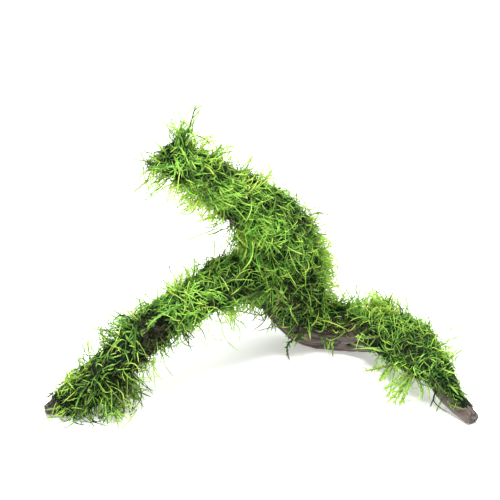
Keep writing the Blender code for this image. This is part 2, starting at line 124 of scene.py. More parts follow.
# How the moss grows along each limb: place, length of a strand and height of the mat over its bed
# in millimetres, how dense it is, how broad its strands are, and how much lighter they are, which
# is painted light and shade: darker low on the trunk and at the feet.
HABITS = {
    "stem": [
        (0.0, 5.0, 0.5, 1.1, 0.8, -0.12), (1.8, 6.5, 0.8, 1.0, 0.9, -0.14),
        (2.6, 11.0, 1.8, 0.9, 1.1, -0.14), (4.4, 13.5, 2.8, 1.0, 1.1, -0.11),
        (5.2, 11.0, 2.0, 0.46, 1.2, 0.06), (7.0, 12.0, 2.0, 0.44, 1.2, 0.03),
        (8.2, 12.0, 2.6, 0.7, 1.2, -0.2), (9.4, 13.5, 3.0, 1.0, 1.0, -0.21),
        (10.5, 13.5, 3.0, 1.1, 1.0, -0.07), (12.0, 13.5, 2.2, 1.0, 0.9, 0.03),
        (14.0, 14.5, 2.0, 1.0, 1.0, 0.05), (16.0, 14.0, 2.0, 0.9, 1.0, 0.0),
    ],
    "left": [
        (0.0, 12.5, 2.8, 1.0, 1.1, 0.08), (2.5, 12.5, 2.2, 1.0, 1.1, 0.12),
        (4.0, 12.0, 1.6, 0.7, 1.4, 0.02), (5.5, 12.0, 1.2, 0.38, 1.5, -0.02),
        (7.0, 12.0, 1.0, 0.48, 1.3, -0.15), (8.5, 12.0, 1.0, 0.62, 1.2, -0.16),
        (10.0, 9.0, 0.8, 0.4, 1.2, -0.25),
    ],
    "twig": [(0.0, 10.0, 1.6, 0.9, 0.9, -0.05), (2.0, 9.0, 1.6, 0.9, 0.9, 0.0)],
}

# Fine threads all over the mats, and hairs where the moss ends: how many, and from what length to
# what length in millimetres.
THREADS = [(1300, 5, 12), (460, 12, 25)]
HAIRS = [(2400, 2.5, 6), (120, 5, 9)]

# Layers of strands that lie in the mat, from the bed up: how many, how long and how high they
# lie against the habit of their place, how many have a loose end, their width in millimetres,
# tint, youth, rings and side branches, and how far they turn in degrees. The lower layers have
# darker tints as painted shade deep in the mat.
LAYERS = [
    (5200, 0.85, 0.6, 0.0, 0.86, 0.04, 0.0, 6, 0, 34),
    (4300, 1.05, 1.0, 0.1, 0.72, 0.32, 0.02, 7, 0, 24),
    (950, 1.25, 1.3, 0.24, 0.78, 0.58, 0.05, 10, 4, 14),
    (2700, 1.2, 1.5, 0.34, 0.56, 0.84, 0.18, 9, 0, 15),
]

# Where the moss is thin and the wood shows through, as a place and how far round it.
THIN = [
    # on the left leg
    ((-61, 21, 53), 8), ((-57, 18, 49), 8), ((-60, 14, 41), 7), ((-52, 20, 46), 7),
    ((-65, 10, 32), 8), ((-70, 14, 21), 8), ((-79, 6, 19), 8), ((-55, 19, 35), 7),
    ((-49, 21, 38), 5), ((-63, 17, 48), 7), ((-20, 38, 51), 6), ((-120, -2, 6), 9),
    # under the upper branch and around the fork
    ((-21, 55, 109), 9), ((-14, 57, 107), 9), ((-9, 58, 104), 6), ((-43, 33, 141), 6),
    ((10, 84, 27), 9), ((15, 84, 20), 9), ((20, 85, 13), 9), ((27, 80, 16), 9),
    ((9, 80, 34), 7), ((16, 78, 30), 8), ((23, 76, 25), 8),
    # over the belly
    ((26, 73, 21), 8), ((33, 77, 11), 11), ((46, 77, 10), 12), ((60, 74, 10), 12),
    ((71, 67, 14), 11), ((52, 76, 18), 8), ((66, 70, 24), 9), ((74, 63, 26), 7),
    # under the hump and on the right foot
    ((75, 52, 18), 8), ((82, 38, 16), 9), ((90, 25, 14), 9), ((98, 14, 12), 9),
    ((105, 8, 12), 8), ((110, 6, 9), 8), ((115, 2, 6), 8), ((122, -3, 2), 7), ((127, -7, 1), 6),
    ((76, 48, 14), 9), ((80, 42, 14), 9),
]

# Where the moss is darker or lighter than around it, partly its own patches and partly painted
# light and shade: a place, how far round it, and how much.
TONES = [
    # on the upper branch and its tip
    ((-41, 40, 161), 8, -0.3), ((-50, 37, 151), 9, -0.35), ((-58, 36, 150), 7, -0.05),
    ((-17, 48, 141), 7, -0.45), ((-43, 33, 141), 6, -0.35), ((13, 59, 116), 8, -0.45),
    ((-4, 48, 116), 8, -0.3), ((-26, 37, 139), 6, -0.25), ((31, 77, 107), 9, -0.2),
    ((-32, 36, 152), 8, 0.28), ((-12, 46, 127), 9, 0.25), ((7, 60, 122), 7, 0.18),
    ((-38, 43, 125), 11, 0.45), ((-29, 48, 112), 9, 0.45), ((-35, 34, 144), 7, 0.22),
    ((-50, 33, 140), 9, 0.2),
    ((-18, 42, 124), 8, 0.25), ((-52, 40, 131), 7, 0.35),
    # around the fork and down the trunk
    ((38, 75, 89), 7, -0.35), ((32, 67, 94), 6, -0.4), ((41, 80, 84), 6, -0.3),
    ((17, 58, 82), 10, -0.35), ((32, 62, 55), 12, -0.6), ((23, 61, 47), 10, -0.55),
    ((-2, 50, 61), 10, -0.45), ((-12, 47, 65), 8, -0.35), ((4, 47, 53), 8, -0.35),
    ((34, 69, 36), 10, -0.35),
    ((13, 55, 98), 10, 0.36), ((-4, 64, 88), 10, 0.55), ((12, 54, 106), 7, 0.15),
    ((20, 62, 65), 8, 0.3), ((52, 88, 64), 13, 0.55), ((25, 63, 101), 7, 0.22),
    ((52, 86, 86), 9, 0.5), ((54, 90, 46), 10, 0.5), ((26, 60, 59), 5, 0.2),
    # on the left leg
    ((-45, 22, 48), 9, -0.2), ((-81, 5, 25), 10, -0.35), ((-58, 16, 42), 8, -0.18),
    ((-99, -3, 19), 10, -0.3), ((-29, 34, 61), 10, 0.3), ((-78, 27, 51), 9, 0.4),
    ((-97, 14, 32), 8, 0.3), ((-28, 45, 70), 8, 0.25), ((-68, 5, 10), 9, 0.35),
    # over the belly, the hump and the right foot
    ((31, 74, 23), 8, -0.25), ((12, 82, 18), 11, -0.25), ((101, 22, 34), 11, -0.35),
    ((50, 74, 22), 12, 0.3),
    ((60, 76, 28), 12, -0.3), ((83, 74, 44), 10, 0.45), ((99, 14, 22), 7, 0.25),
    ((120, 30, 31), 8, 0.3), ((91, 26, 16), 7, 0.25),
]

# Single strands that the picture shows, as their width in millimetres, tint, youth, and the
# places where they start, pass and end.
STRANDS = [
    # around the upper tip
    (1.0, 0.2, 0.0, (-37, 41, 163), (-34, 40, 174), (-31, 42, 184)),
    (1.0, 0.7, 0.5, (-33, 41, 176), (-31, 41, 178), (-29, 41, 181)),
    (1.0, 0.7, 0.5, (-32, 41, 180), (-30, 41, 182), (-27, 41, 183)),
    (0.9, 0.8, 0.7, (-42, 39, 173), (-44, 43, 177), (-40, 42, 187)),
    (1.1, 0.6, 0.4, (-46, 43, 162), (-47, 41, 166), (-45, 42, 170)),
    (1.1, 0.7, 0.6, (-32, 45, 158), (-26, 48, 161), (-18, 51, 164)),
    (0.9, 0.8, 0.7, (-29, 47, 158), (-22, 46, 160), (-15, 50, 158)),
    (1.1, 0.65, 0.5, (-57, 40, 154), (-63, 37, 156), (-60, 34, 150)),
    (1.1, 0.6, 0.5, (-60, 34, 150), (-58, 34, 146), (-55, 35, 147)),
    (0.9, 0.8, 0.7, (-61, 36, 151), (-65, 35, 152), (-68, 36, 152)),
    (1.0, 0.8, 0.6, (-59, 36, 141), (-63, 34, 137), (-69, 32, 133)),
    (0.9, 0.8, 0.7, (-46, 44, 124), (-54, 38, 123), (-66, 35, 119)),
    (1.1, 0.7, 0.5, (-33, 48, 118), (-38, 45, 116), (-45, 43, 114)),
    (1.1, 0.75, 0.6, (-6, 55, 139), (-2, 57, 142), (1, 62, 145)),
    (1.0, 0.75, 0.6, (10, 63, 128), (12, 64, 132), (14, 67, 136)),
    (1.4, 0.8, 0.25, (-42, 37, 161), (-39, 34, 158), (-37, 32, 155)),
    (1.6, 0.8, 0.25, (-44, 31, 156), (-42, 29, 152), (-41, 28, 148)),
    (1.4, 0.7, 0.2, (-56, 35, 147), (-49, 31, 149), (-43, 29, 150)),
    (1.6, 0.7, 0.2, (-34, 32, 142), (-29, 33, 139), (-24, 36, 135)),
    (1.4, 0.8, 0.3, (-19, 40, 134), (-17, 40, 132), (-15, 40, 129)),
    # in the fork and across the trunk
    (1.1, 0.75, 0.6, (-19, 57, 100), (-31, 50, 98), (-45, 48, 93)),
    (1.1, 0.75, 0.6, (-17, 60, 98), (-22, 55, 97), (-27, 51, 98)),
    (0.8, 0.4, 0.0, (-15, 64, 98), (-12, 62, 99), (-10, 60, 101)),
    (0.9, 0.8, 0.4, (-22, 56, 92), (-22, 53, 87), (-22, 50, 82)),
    (1.1, 0.6, 0.3, (-34, 48, 85), (-34, 45, 81), (-35, 42, 76)),
    (1.1, 0.7, 0.5, (-41, 48, 78), (-39, 47, 76), (-37, 46, 74)),
    (1.1, 0.7, 0.5, (-54, 46, 70), (-50, 43, 68), (-44, 38, 69)),
    (1.0, 0.8, 0.7, (-56, 44, 66), (-57, 42, 63), (-56, 37, 60)),
    (2.0, 0.6, 0.15, (-17, 45, 70), (-9, 47, 70), (-3, 51, 74)),
    (1.6, 0.7, 0.2, (19, 59, 74), (14, 60, 68), (8, 56, 65)),
    (2.2, 0.85, 0.35, (12, 57, 61), (18, 58, 52), (13, 66, 37)),
    (1.8, 0.6, 0.15, (7, 54, 59), (1, 48, 58), (-6, 42, 58)),
    (1.4, 0.8, 0.3, (16, 59, 46), (25, 59, 43), (32, 61, 46)),
    (1.1, 0.5, 0.2, (-23, 35, 55), (-7, 46, 48), (9, 80, 27)),
    (0.9, 0.7, 0.5, (-15, 42, 50), (-18, 40, 42), (-14, 40, 30)),
    (0.8, 0.7, 0.5, (-14, 40, 30), (-11, 41, 26), (-7, 42, 22)),
    (0.8, 0.6, 0.4, (-14, 40, 46), (-12, 40, 41), (-10, 40, 37)),
    (0.8, 0.7, 0.4, (-6, 43, 43), (-4, 42, 41), (-2, 41, 38)),
    # over the belly
    (2.4, 0.5, 0.1, (23, 69, 31), (25, 72, 23), (25, 74, 13)),
    (1.7, 0.35, 0.0, (34, 75, 13), (25, 74, 10), (26, 67, 1.2)),
    (1.8, 0.5, 0.1, (42, 75, 19), (35, 74, 18), (27, 75, 16)),
    (1.4, 0.5, 0.1, (45, 75, 16), (47, 74, 13), (48, 75, 9)),
    (1.2, 0.6, 0.2, (52, 73, 12), (54, 75, 6), (54, 72, 1.5)),
    (2.0, 0.9, 0.4, (83, 41, 34), (75, 51, 27), (67, 66, 20)),
    (1.0, 0.8, 0.4, (64, 69, 14), (73, 61, 15), (81, 43, 24)),
    (1.1, 0.75, 0.6, (44, 80, 53), (51, 84, 50), (57, 87, 48)),
    # on the left leg and its foot
    (2.3, 0.6, 0.1, (-68, 20, 53), (-69, 11, 47), (-69, 5, 36)),
    (2.3, 0.55, 0.1, (-41, 27, 61), (-54, 21, 58), (-62, 14, 52)),
    (1.7, 0.6, 0.2, (-62, 14, 52), (-65, 13, 51), (-64, 12, 48)),
    (1.8, 0.6, 0.1, (-39, 25, 56), (-37, 22, 53), (-36, 24, 47)),
    (1.3, 0.6, 0.1, (-46, 20, 53), (-45, 19, 51), (-45, 19, 48)),
    (1.5, 0.7, 0.2, (-75, 16, 48), (-73, 11, 47), (-69, 9, 44)),
    (1.1, 0.7, 0.6, (-86, 24, 46), (-92, 25, 46), (-99, 26, 49)),
    (1.1, 0.7, 0.6, (-88, 24, 44), (-94, 25, 44), (-99, 25, 45)),
    (1.0, 0.7, 0.6, (-80, 24, 55), (-85, 26, 56), (-89, 28, 57)),
    (1.1, 0.6, 0.4, (-97, 6, 34), (-102, 14, 27), (-107, 15, 24)),
    (1.1, 0.6, 0.4, (-91, 12, 36), (-97, 17, 33), (-104, 19, 33)),
    (1.0, 0.5, 0.2, (-55, 20, 34), (-53, 19, 31), (-52, 18, 27)),
    (1.0, 0.5, 0.2, (-43, 24, 41), (-47, 22, 38), (-51, 17, 36)),
    (0.9, 0.5, 0.2, (-39, 26, 42), (-37, 26, 40), (-35, 26, 38)),
    (0.9, 0.6, 0.2, (-62, 16, 31), (-64, 18, 23), (-66, 16, 17)),
    (1.0, 0.8, 0.6, (-117, -5, 2.5), (-123, -7, 2), (-122, -13, 0.8)),
    (1.0, 0.8, 0.6, (-121, -15, 1.6), (-123, -19, 1.4), (-124, -24, 0.8)),
    (1.5, 0.95, 0.6, (-68, 0, 5), (-71, -12, 5), (-77, -19, 1.6)),
    # around the right leg
    (1.1, 0.7, 0.5, (70, 84, 41), (69, 86, 44), (70, 87, 48)),
    (1.1, 0.7, 0.5, (62, 90, 35), (61, 91, 37), (61, 91, 39)),
    (1.0, 0.9, 0.5, (84, 88, 32), (79, 80, 41), (74, 80, 46)),
    (0.9, 0.9, 0.5, (86, 74, 39), (82, 72, 45), (78, 73, 50)),
    (1.1, 0.7, 0.5, (89, 73, 41), (90, 67, 48), (91, 65, 53)),
    (1.8, 0.7, 0.5, (101, 13, 20), (104, 9, 14), (105, 11, 5)),
    (2.6, 0.7, 0.5, (99, 15, 22), (92, 12, 13), (83, 12, 1.4)),
    (2.2, 0.75, 0.6, (97, 17, 20), (88, 15, 11), (83, 19, 1.6)),
    (2.5, 0.7, 0.5, (99, 14, 22), (95, 10, 12), (91, 9, 1.4)),
    (1.9, 0.75, 0.6, (96, 20, 20), (88, 20, 12), (82, 24, 4)),
    (1.8, 0.75, 0.5, (97, 17, 18), (92, 13, 9), (87, 11, 2)),
    (2.1, 0.6, 0.4, (89, 26, 22), (80, 28, 18), (69, 28, 15)),
    (1.8, 0.7, 0.5, (87, 31, 18), (83, 30, 13), (80, 29, 7)),
    (1.7, 0.7, 0.5, (88, 26, 19), (84, 24, 15), (79, 20, 12)),
    (1.4, 0.6, 0.4, (82, 38, 22), (79, 38, 17), (78, 36, 9)),
    (0.9, 0.8, 0.7, (121, 34, 34), (128, 28, 40), (137, 24, 44)),
    (0.9, 0.8, 0.7, (119, 37, 36), (126, 36, 42), (131, 30, 48)),
    (1.1, 0.7, 0.5, (114, 10, 28), (120, 9, 26), (127, 8, 24)),
    (1.1, 0.7, 0.5, (119, 3, 21), (122, 0, 19), (125, -2, 16)),
    (1.1, 0.6, 0.4, (116, 2, 11), (114, 1, 7), (112, -1, 3)),
]

# Sprays of fine strands at the edges of the mats: how many, how far they scatter in millimetres,
# and the start, middle and end of the one in their midst.
SPRAYS = [
    (62, 10, (-38, 46, 125), (-42, 45, 121), (-45, 44, 117)),
    (44, 10, (-28, 49, 113), (-30, 49, 108), (-33, 48, 103)),
    (46, 9, (-48, 42, 132), (-53, 40, 129), (-57, 39, 125)),
    (12, 8, (-55, 38, 142), (-60, 35, 138), (-64, 34, 133)),
    (22, 6, (-57, 37, 151), (-61, 36, 149), (-66, 35, 146)),
    (14, 6, (-57, 37, 153), (-61, 36, 156), (-64, 36, 158)),
    (40, 7, (-13, 61, 97), (-13, 58, 91), (-13, 55, 85)),
    (30, 8, (-24, 52, 100), (-28, 51, 98), (-33, 50, 96)),
    (74, 12, (45, 84, 86), (50, 85, 88), (54, 86, 87)),
    (110, 14, (46, 86, 62), (51, 87, 62), (56, 88, 60)),
    (66, 10, (46, 86, 46), (52, 88, 44), (57, 89, 42)),
    (60, 9, (78, 78, 38), (76, 80, 44), (74, 81, 48)),
    (60, 9, (88, 72, 38), (87, 72, 44), (86, 72, 49)),
    (6, 7, (88, 30, 18), (84, 26, 13), (80, 22, 7)),
    (8, 5, (101, 13, 17), (103, 9, 13), (102, 6, 9)),
    (14, 9, (116, 20, 32), (121, 20, 34), (126, 19, 34)),
    (30, 9, (-58, 20, 30), (-61, 17, 23), (-64, 14, 15)),
    (60, 8, (-76, 6, 17), (-71, 5, 12), (-67, 4, 4)),
    (44, 11, (-84, 20, 42), (-88, 22, 44), (-93, 23, 45)),
    (40, 11, (-66, 32, 50), (-69, 34, 54), (-72, 35, 57)),
    (30, 12, (-42, 46, 64), (-43, 47, 70), (-43, 47, 75)),
    (36, 7, (38, 78, 90), (43, 82, 88), (49, 88, 86)),
    (26, 8, (-100, 4, 26), (-106, 5, 24), (-111, 6, 20)),
    (34, 10, (-16, 44, 48), (-13, 44, 42), (-10, 44, 37)),
    (30, 8, (50, 74, 20), (56, 72, 21), (62, 70, 20)),
    (40, 9, (-84, 0, 12), (-82, -5, 7), (-79, -9, 3)),
    (22, 6, (-112, -3, 5), (-115, -6, 4), (-118, -9, 2)),
    (26, 6, (-39, 43, 162), (-38, 42, 168), (-36, 42, 174)),
    (50, 9, (-6, 52, 46), (-5, 52, 41), (-3, 52, 37)),
    (30, 9, (-30, 32, 46), (-32, 32, 42), (-34, 32, 39)),
    (40, 12, (-24, 50, 150), (-20, 51, 154), (-16, 52, 157)),
    (40, 14, (2, 60, 132), (6, 62, 136), (10, 64, 139)),
]

# Tufts of darker strands that fill out the mats, in the same way.
TUFTS = [
    (60, 6, (-50, 38, 148), (-55, 36, 149), (-58, 35, 148)),
    (34, 4, (-40, 43, 158), (-39, 42, 165), (-37, 42, 171)),
    (60, 9, (-4, 62, 96), (-6, 60, 88), (-8, 58, 79)),
    (40, 8, (4, 62, 90), (1, 60, 82), (-2, 58, 75)),
    (46, 8, (58, 92, 28), (59, 91, 33), (60, 90, 37)),
    (46, 8, (68, 90, 34), (70, 89, 39), (72, 88, 43)),
    (34, 6, (112, 10, 21), (117, 5, 19), (122, 0, 15)),
    (20, 5, (121, 2, 14), (123, 0, 13), (125, -2, 11)),
    (44, 8, (-78, 8, 16), (-75, 2, 12), (-73, -4, 4)),
    (60, 9, (-73, 25, 48), (-79, 25, 50), (-86, 25, 50)),
    (46, 10, (-100, 0, 9), (-99, -6, 6), (-98, -11, 1)),
    (46, 10, (-84, 3, 12), (-82, -5, 8), (-80, -11, 2)),
    (50, 8, (80, 76, 34), (79, 77, 40), (78, 78, 45)),
    (40, 7, (88, 72, 34), (88, 72, 40), (87, 72, 44)),
    (50, 8, (-76, 6, 18), (-72, 5, 13), (-70, 3, 6)),
    (30, 7, (4, 80, 40), (0, 77, 35), (-2, 75, 31)),
    (24, 8, (-51, 23, 45), (-49, 19, 42), (-48, 18, 39)),
    (16, 6, (-42, 26, 48), (-40, 24, 44), (-38, 23, 40)),
]

# Brown rootlets.
ROOTLETS = [
    (0.5, 0.5, 0.0, (-120, 8, 10), (-126, 4, 9), (-131, 0, 7)),
    (0.7, 0.2, 0.0, (-71, 9, 24), (-66, 12, 16), (-59, 15, 9)),
    (0.6, 0.2, 0.0, (-66, 13, 18), (-62, 14, 12), (-59, 14, 6)),
]

rng = np.random.default_rng(SEED)


def metres(points):
    """Points of the layout, in millimetres, in the scene's own frame, in metres."""
    return (np.asarray(points, float) - MIDDLE) * MM


def unit(vectors):
    """The vectors at a length of one."""
    length = np.linalg.norm(vectors, axis=-1, keepdims=True)
    return vectors / np.maximum(length, 1e-9)


def across(vectors, axis):
    """What is left of the vectors when their part along an axis is taken out."""
    return vectors - axis * np.sum(vectors * axis, axis=-1, keepdims=True)


def any_way(number):
    """Unit vectors that point every way."""
    return unit(rng.normal(size=(number, 3)))


def drawn(number, mean, spread, low=0, high=1):
    """A value for each strand, drawn around a mean and kept between its limits."""
    return np.clip(rng.normal(mean, spread, number), low, high)


def remap(values, low, high):
    """Values as 0 at the low end and 1 at the high end, and no further."""
    return np.clip((values - low) / (high - low), 0, 1)


def noise_at(places, pitch, field=0):
    """Noise from -1 to 1 at places in millimetres. The pitch is in waves to a millimetre."""
    shift = Vector((field, 0, 0))
    return np.array([noise.noise(Vector(place) + shift) for place in (places * pitch).tolist()])


def bezier(controls, t):
    """The points of cubic curves at t, and the way the curves run there."""
    a, b, c, d = np.moveaxis(controls, -2, 0)
    points = a * (1 - t) ** 3 + 3 * b * t * (1 - t) ** 2 + 3 * c * t**2 * (1 - t) + d * t**3
    return points, unit((b - a) * (1 - t) ** 2 + 2 * (c - b) * t * (1 - t) + (d - c) * t**2)


class Limb:
    """A smooth centre line with its radius, and a frame at each place that doesn't twist."""

    STEPS = 40
    FIRST_SIDE = np.array((0.3, 1.0, 0.2))
    BLOCK = 4000

    def __init__(self, points):
        knots = np.array(points, float)
        knots[:, :3] -= MIDDLE
        last = len(knots) - 1
        self.place = np.linspace(0, last, last * self.STEPS + 1)
        i = np.minimum(self.place.astype(int), last - 1)
        t = (self.place - i)[:, None]
        a, b, c, d = (knots[np.clip(i + k, 0, last)] for k in (-1, 0, 1, 2))
        curve = 0.5 * (2 * b + (c - a) * t + (2 * a - 5 * b + 4 * c - d) * t**2
                       + (3 * b - a - 3 * c + d) * t**3)
        self.centre, self.radius = curve[:, :3] * MM, curve[:, 3] * MM
        steps = np.diff(self.centre, axis=0)
        self.along = np.concatenate(([0], np.cumsum(np.linalg.norm(steps, axis=1))))
        self.tangent = unit(np.gradient(self.centre, axis=0))
        sides = [unit(across(self.FIRST_SIDE, self.tangent[0]))]
        for tangent in self.tangent[1:]:
            sides.append(unit(across(sides[-1], tangent)))
        self.side = np.array(sides)
        self.over = np.cross(self.tangent, self.side)

    def nearest(self, points):
        """The index of the place whose centre is nearest to each point, and its distance."""
        index, far = np.empty(len(points), int), np.empty(len(points))
        for start in range(0, len(points), self.BLOCK):
            some = slice(start, start + self.BLOCK)
            offset = points[some, None] - self.centre[None]
            squares = np.einsum("ijk,ijk->ij", offset, offset)
            index[some] = squares.argmin(axis=1)
            far[some] = np.sqrt(squares.min(axis=1))
        return index, far

    def straightened(self, points, index):
        """Points as if the limb were straight: across, over and along it, in metres."""
        offset = points - self.centre[index]
        reach = np.sum(offset * self.tangent[index], axis=1)
        return np.stack((np.sum(offset * self.side[index], axis=1),
                         np.sum(offset * self.over[index], axis=1),
                         self.along[index] + reach), axis=1)


LIMBS = {"stem": Limb(STEM), "left": Limb(LEFT_LEG), "twig": Limb(TWIG)}
LIMB_NAMES = list(LIMBS)


def on_limbs(points):
    """For each point, which limb it is on (by number) and the index of its place there."""
    found = [limb.nearest(points) for limb in LIMBS.values()]
    gaps = [far - limb.radius[index] for limb, (index, far) in zip(LIMBS.values(), found)]
    nearest = np.argmin(gaps, axis=0)
    places = np.array([index for index, _ in found])
    return nearest, places[nearest, np.arange(len(points))]


def by_limb(limb, index, name):
    """A value that each limb keeps for each of its places, picked for each point."""
    values = [getattr(each, name) for each in LIMBS.values()]
    out = np.empty((len(limb), *values[0].shape[1:]))
    for number, value in enumerate(values):
        here = limb == number
        out[here] = value[index[here]]
    return out


def habits(limb, place):
    """The columns of HABITS after the place, for each place on its limb."""
    columns = len(HABITS["stem"][0]) - 1
    out = np.empty((len(limb), columns))
    for number, name in enumerate(LIMB_NAMES):
        here, table = limb == number, np.array(HABITS[name])
        for k in range(columns):
            out[here, k] = np.interp(place[here], table[:, 0], table[:, k + 1])
    return out


def thinness(points):
    """How far the moss is thinned out at each point, from 0 to 1, with a ragged edge."""
    core, fray = 0.5, 3.5
    out = np.zeros(len(points))
    ragged = noise_at(points / MM, pitch=0.3, field=33) * fray * MM
    for middle, reach in THIN:
        far = np.linalg.norm(points - metres(middle), axis=1) + ragged
        out = np.maximum(out, 1 - remap(far, core * reach * MM, reach * MM))
    return out


def tones(points):
    """How much lighter the moss is at each point than its habit, partly painted light and shade."""
    out = np.zeros(len(points))
    for middle, reach, shift in TONES:
        far = np.linalg.norm(points - metres(middle), axis=1) / (reach * MM)
        out += shift * np.exp(-(far**2))
    return out


# ---- Meshes ----------------------------------------------------------------------------------


def points_of(mesh):
    """The points of a mesh, as rows."""
    points = np.empty(len(mesh.vertices) * 3)
    mesh.vertices.foreach_get("co", points)
    return points.reshape(-1, 3)


def normals_of(mesh):
    """The ways out of a mesh at its points, as rows."""
    normals = np.empty(len(mesh.vertices) * 3)
    mesh.vertex_normals.foreach_get("vector", normals)
    return normals.reshape(-1, 3)


def move_points(mesh, points, above):
    """Moves the points of a mesh, none of them lower than so many millimetres above the floor."""
    points[:, 2] = np.maximum(points[:, 2], above * MM)
    mesh.vertices.foreach_set("co", points.astype(np.float32).ravel())
    mesh.update()


def paint(mesh, name, colours):
    """Keeps a colour for each point of a mesh, from rows of red, green and blue."""
    colours = np.column_stack((colours, np.ones(len(colours)))).astype(np.float32)
    kept = mesh.color_attributes.new(name, "FLOAT_COLOR", "POINT")
    kept.data.foreach_set("color", colours.ravel())


def tree_of(obj):
    """A tree of an object's faces, for ray casts and nearest places."""
    shape = bmesh.new()
    shape.from_mesh(obj.data)
    tree = BVHTree.FromBMesh(shape)
    shape.free()
    return tree


def fused_wood(name, voxel, smoothing):
    """A copy of the whole driftwood, grown together at its fork, with an even fine mesh."""
    seam, softness = 0.01 * MM, 0.5
    bpy.ops.object.select_all(action="DESELECT")
    copies = []
    for node in WOOD:
        copy = bpy.data.objects.new(name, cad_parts[node].data.copy())
        bpy.context.scene.collection.objects.link(copy)
        copy.select_set(True)
        copies.append(copy)
    made = copies[0]
    bpy.context.view_layer.objects.active = made
    bpy.ops.object.join()
    bpy.ops.object.mode_set(mode="EDIT")
    bpy.ops.mesh.select_all(action="SELECT")
    bpy.ops.mesh.remove_doubles(threshold=seam)
    bpy.ops.object.mode_set(mode="OBJECT")
    skin = made.modifiers.new("skin", "REMESH")
    skin.mode = "VOXEL"
    skin.voxel_size = voxel * MM
    bpy.ops.object.modifier_apply(modifier=skin.name)
    worn = made.modifiers.new("worn", "SMOOTH")
    worn.factor = softness
    worn.iterations = smoothing
    bpy.ops.object.modifier_apply(modifier=worn.name)
    made.name = name
    made.data.name = name
    made.data.materials.clear()
    return made


# The thickest that the moss is taken to be over the wood, and how far in front of the wood and
# how far out it is looked for, in millimetres.
THICKEST, LOOK_FROM, LOOK_TO = 11, 1.2, 30


def cover_over(points, normals, trees):
    """How thick the moss is over each point of the wood, in metres, and 0 where it is bare."""
    cover = np.zeros(len(points))
    start = points + normals * LOOK_FROM * MM
    for k, (origin, normal) in enumerate(zip(start.tolist(), normals.tolist())):
        for tree in trees:
            spot, out, _, distance = tree.ray_cast(Vector(origin), Vector(normal), LOOK_TO * MM)
            if spot is not None and out.dot(Vector(normal)) > 0:
                cover[k] = max(cover[k], min(distance + LOOK_FROM * MM, THICKEST * MM))
    return cover


def evened(mesh, values, rounds):
    """Values at the points of a mesh, evened out with their neighbours."""
    edges = np.empty(len(mesh.edges) * 2, int)
    mesh.edges.foreach_get("vertices", edges)
    near, far = edges.reshape(-1, 2).T
    count = np.bincount(near, minlength=len(values)) + np.bincount(far, minlength=len(values))
    for _ in range(rounds):
        total = np.bincount(near, values[far], len(values))
        total += np.bincount(far, values[near], len(values))
        values = 0.5 * values + 0.5 * total / np.maximum(count, 1)
    return values


# ---- Driftwood -------------------------------------------------------------------------------


def cracks(values, width, depth):
    """Grooves where a noise passes through zero."""
    return np.exp(-((values / width) ** 2)) * depth


def make_driftwood(moss_trees):
    """The root: lumps, fissures that follow the grain, and a worn skin between them."""
    wood = fused_wood("driftwood", voxel=0.8, smoothing=14)
    points, normals = points_of(wood.data), normals_of(wood.data)
    limb, index = on_limbs(points)
    grain = np.empty_like(points)
    for number, each in enumerate(LIMBS.values()):
        here = limb == number
        grain[here] = each.straightened(points[here], index[here])
    cover = evened(wood.data, cover_over(points, normals, moss_trees), rounds=3)

    sway = 2.5
    wander = [noise_at(grain / MM, (0.06, 0.06, 0.025), field) for field in (0, 7)]
    twisted = grain / MM + np.stack((*wander, np.zeros(len(grain))), axis=1) * sway
    wide = noise_at(twisted, pitch=(0.30, 0.30, 0.022), field=3)
    fine = noise_at(twisted, pitch=(0.85, 0.85, 0.06), field=5)
    fissure = cracks(wide, width=0.10, depth=1.15) + cracks(fine, width=0.12, depth=0.45)
    lumps = noise_at(points / MM, pitch=0.09, field=9)
    worn = remap(noise_at(points / MM, pitch=0.05, field=13), low=-0.35, high=0.25)
    least_worn, lump_height, swelling = 0.35, 0.35, 0.12
    depth = fissure * (least_worn + (1 - least_worn) * worn) - lump_height * lumps - swelling
    points = points - normals * (depth * MM)[:, None]
    move_points(wood.data, points, above=0.02)

    thinnest, left_share, thin_share = 0.5, 0.6, 0.8
    covered = evened(wood.data, (cover > thinnest * MM).astype(float), rounds=14)
    bare = 1 - remap(covered, low=0.1, high=0.9)
    left = limb == LIMB_NAMES.index("left")
    bare = np.where(left, left_share * bare, np.maximum(bare, thin_share * thinness(points)))
    paint(wood.data, "marks", np.stack((bare, remap(fissure, 0.1, 0.9), worn), axis=1))
    along = wood.data.attributes.new("grain", "FLOAT_VECTOR", "POINT")
    along.data.foreach_set("vector", grain.astype(np.float32).ravel())
    wood.data.shade_smooth()
    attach(wood, "root")
    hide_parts(*WOOD)
    return wood


# ---- Moss ------------------------------------------------------------------------------------


def make_bed(moss_trees):
    """The felt of old growth that the fronds grow out of, dark with painted shade."""
    bed = fused_wood("moss_bed", voxel=1.5, smoothing=6)
    points, normals = points_of(bed.data), normals_of(bed.data)
    cover = evened(bed.data, cover_over(points, normals, moss_trees), rounds=2)
    felt_share, small_share, lump_height, sunk = 0.64, 0.6, 0.9 * MM, 0.9 * MM
    lumps = noise_at(points / MM, pitch=0.22, field=21)
    lumps = lumps + small_share * noise_at(points / MM, pitch=0.55, field=22)
    grown = remap(cover, low=0.2 * MM, high=1.4 * MM) * (1 - thinness(points))
    height = grown * (felt_share * cover + lumps * lump_height) - (1 - grown) * sunk
    move_points(bed.data, points + normals * height[:, None], above=0.3)
    # The marks hold how high the lumps stand; the dips between them get painted shade.
    paint(bed.data, "marks", np.repeat(remap(lumps, -0.6, 0.8)[:, None], 3, axis=1))
    bed.data.shade_smooth()
    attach(bed, "root")
    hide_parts(*MOSS)
    return bed, grown, cover


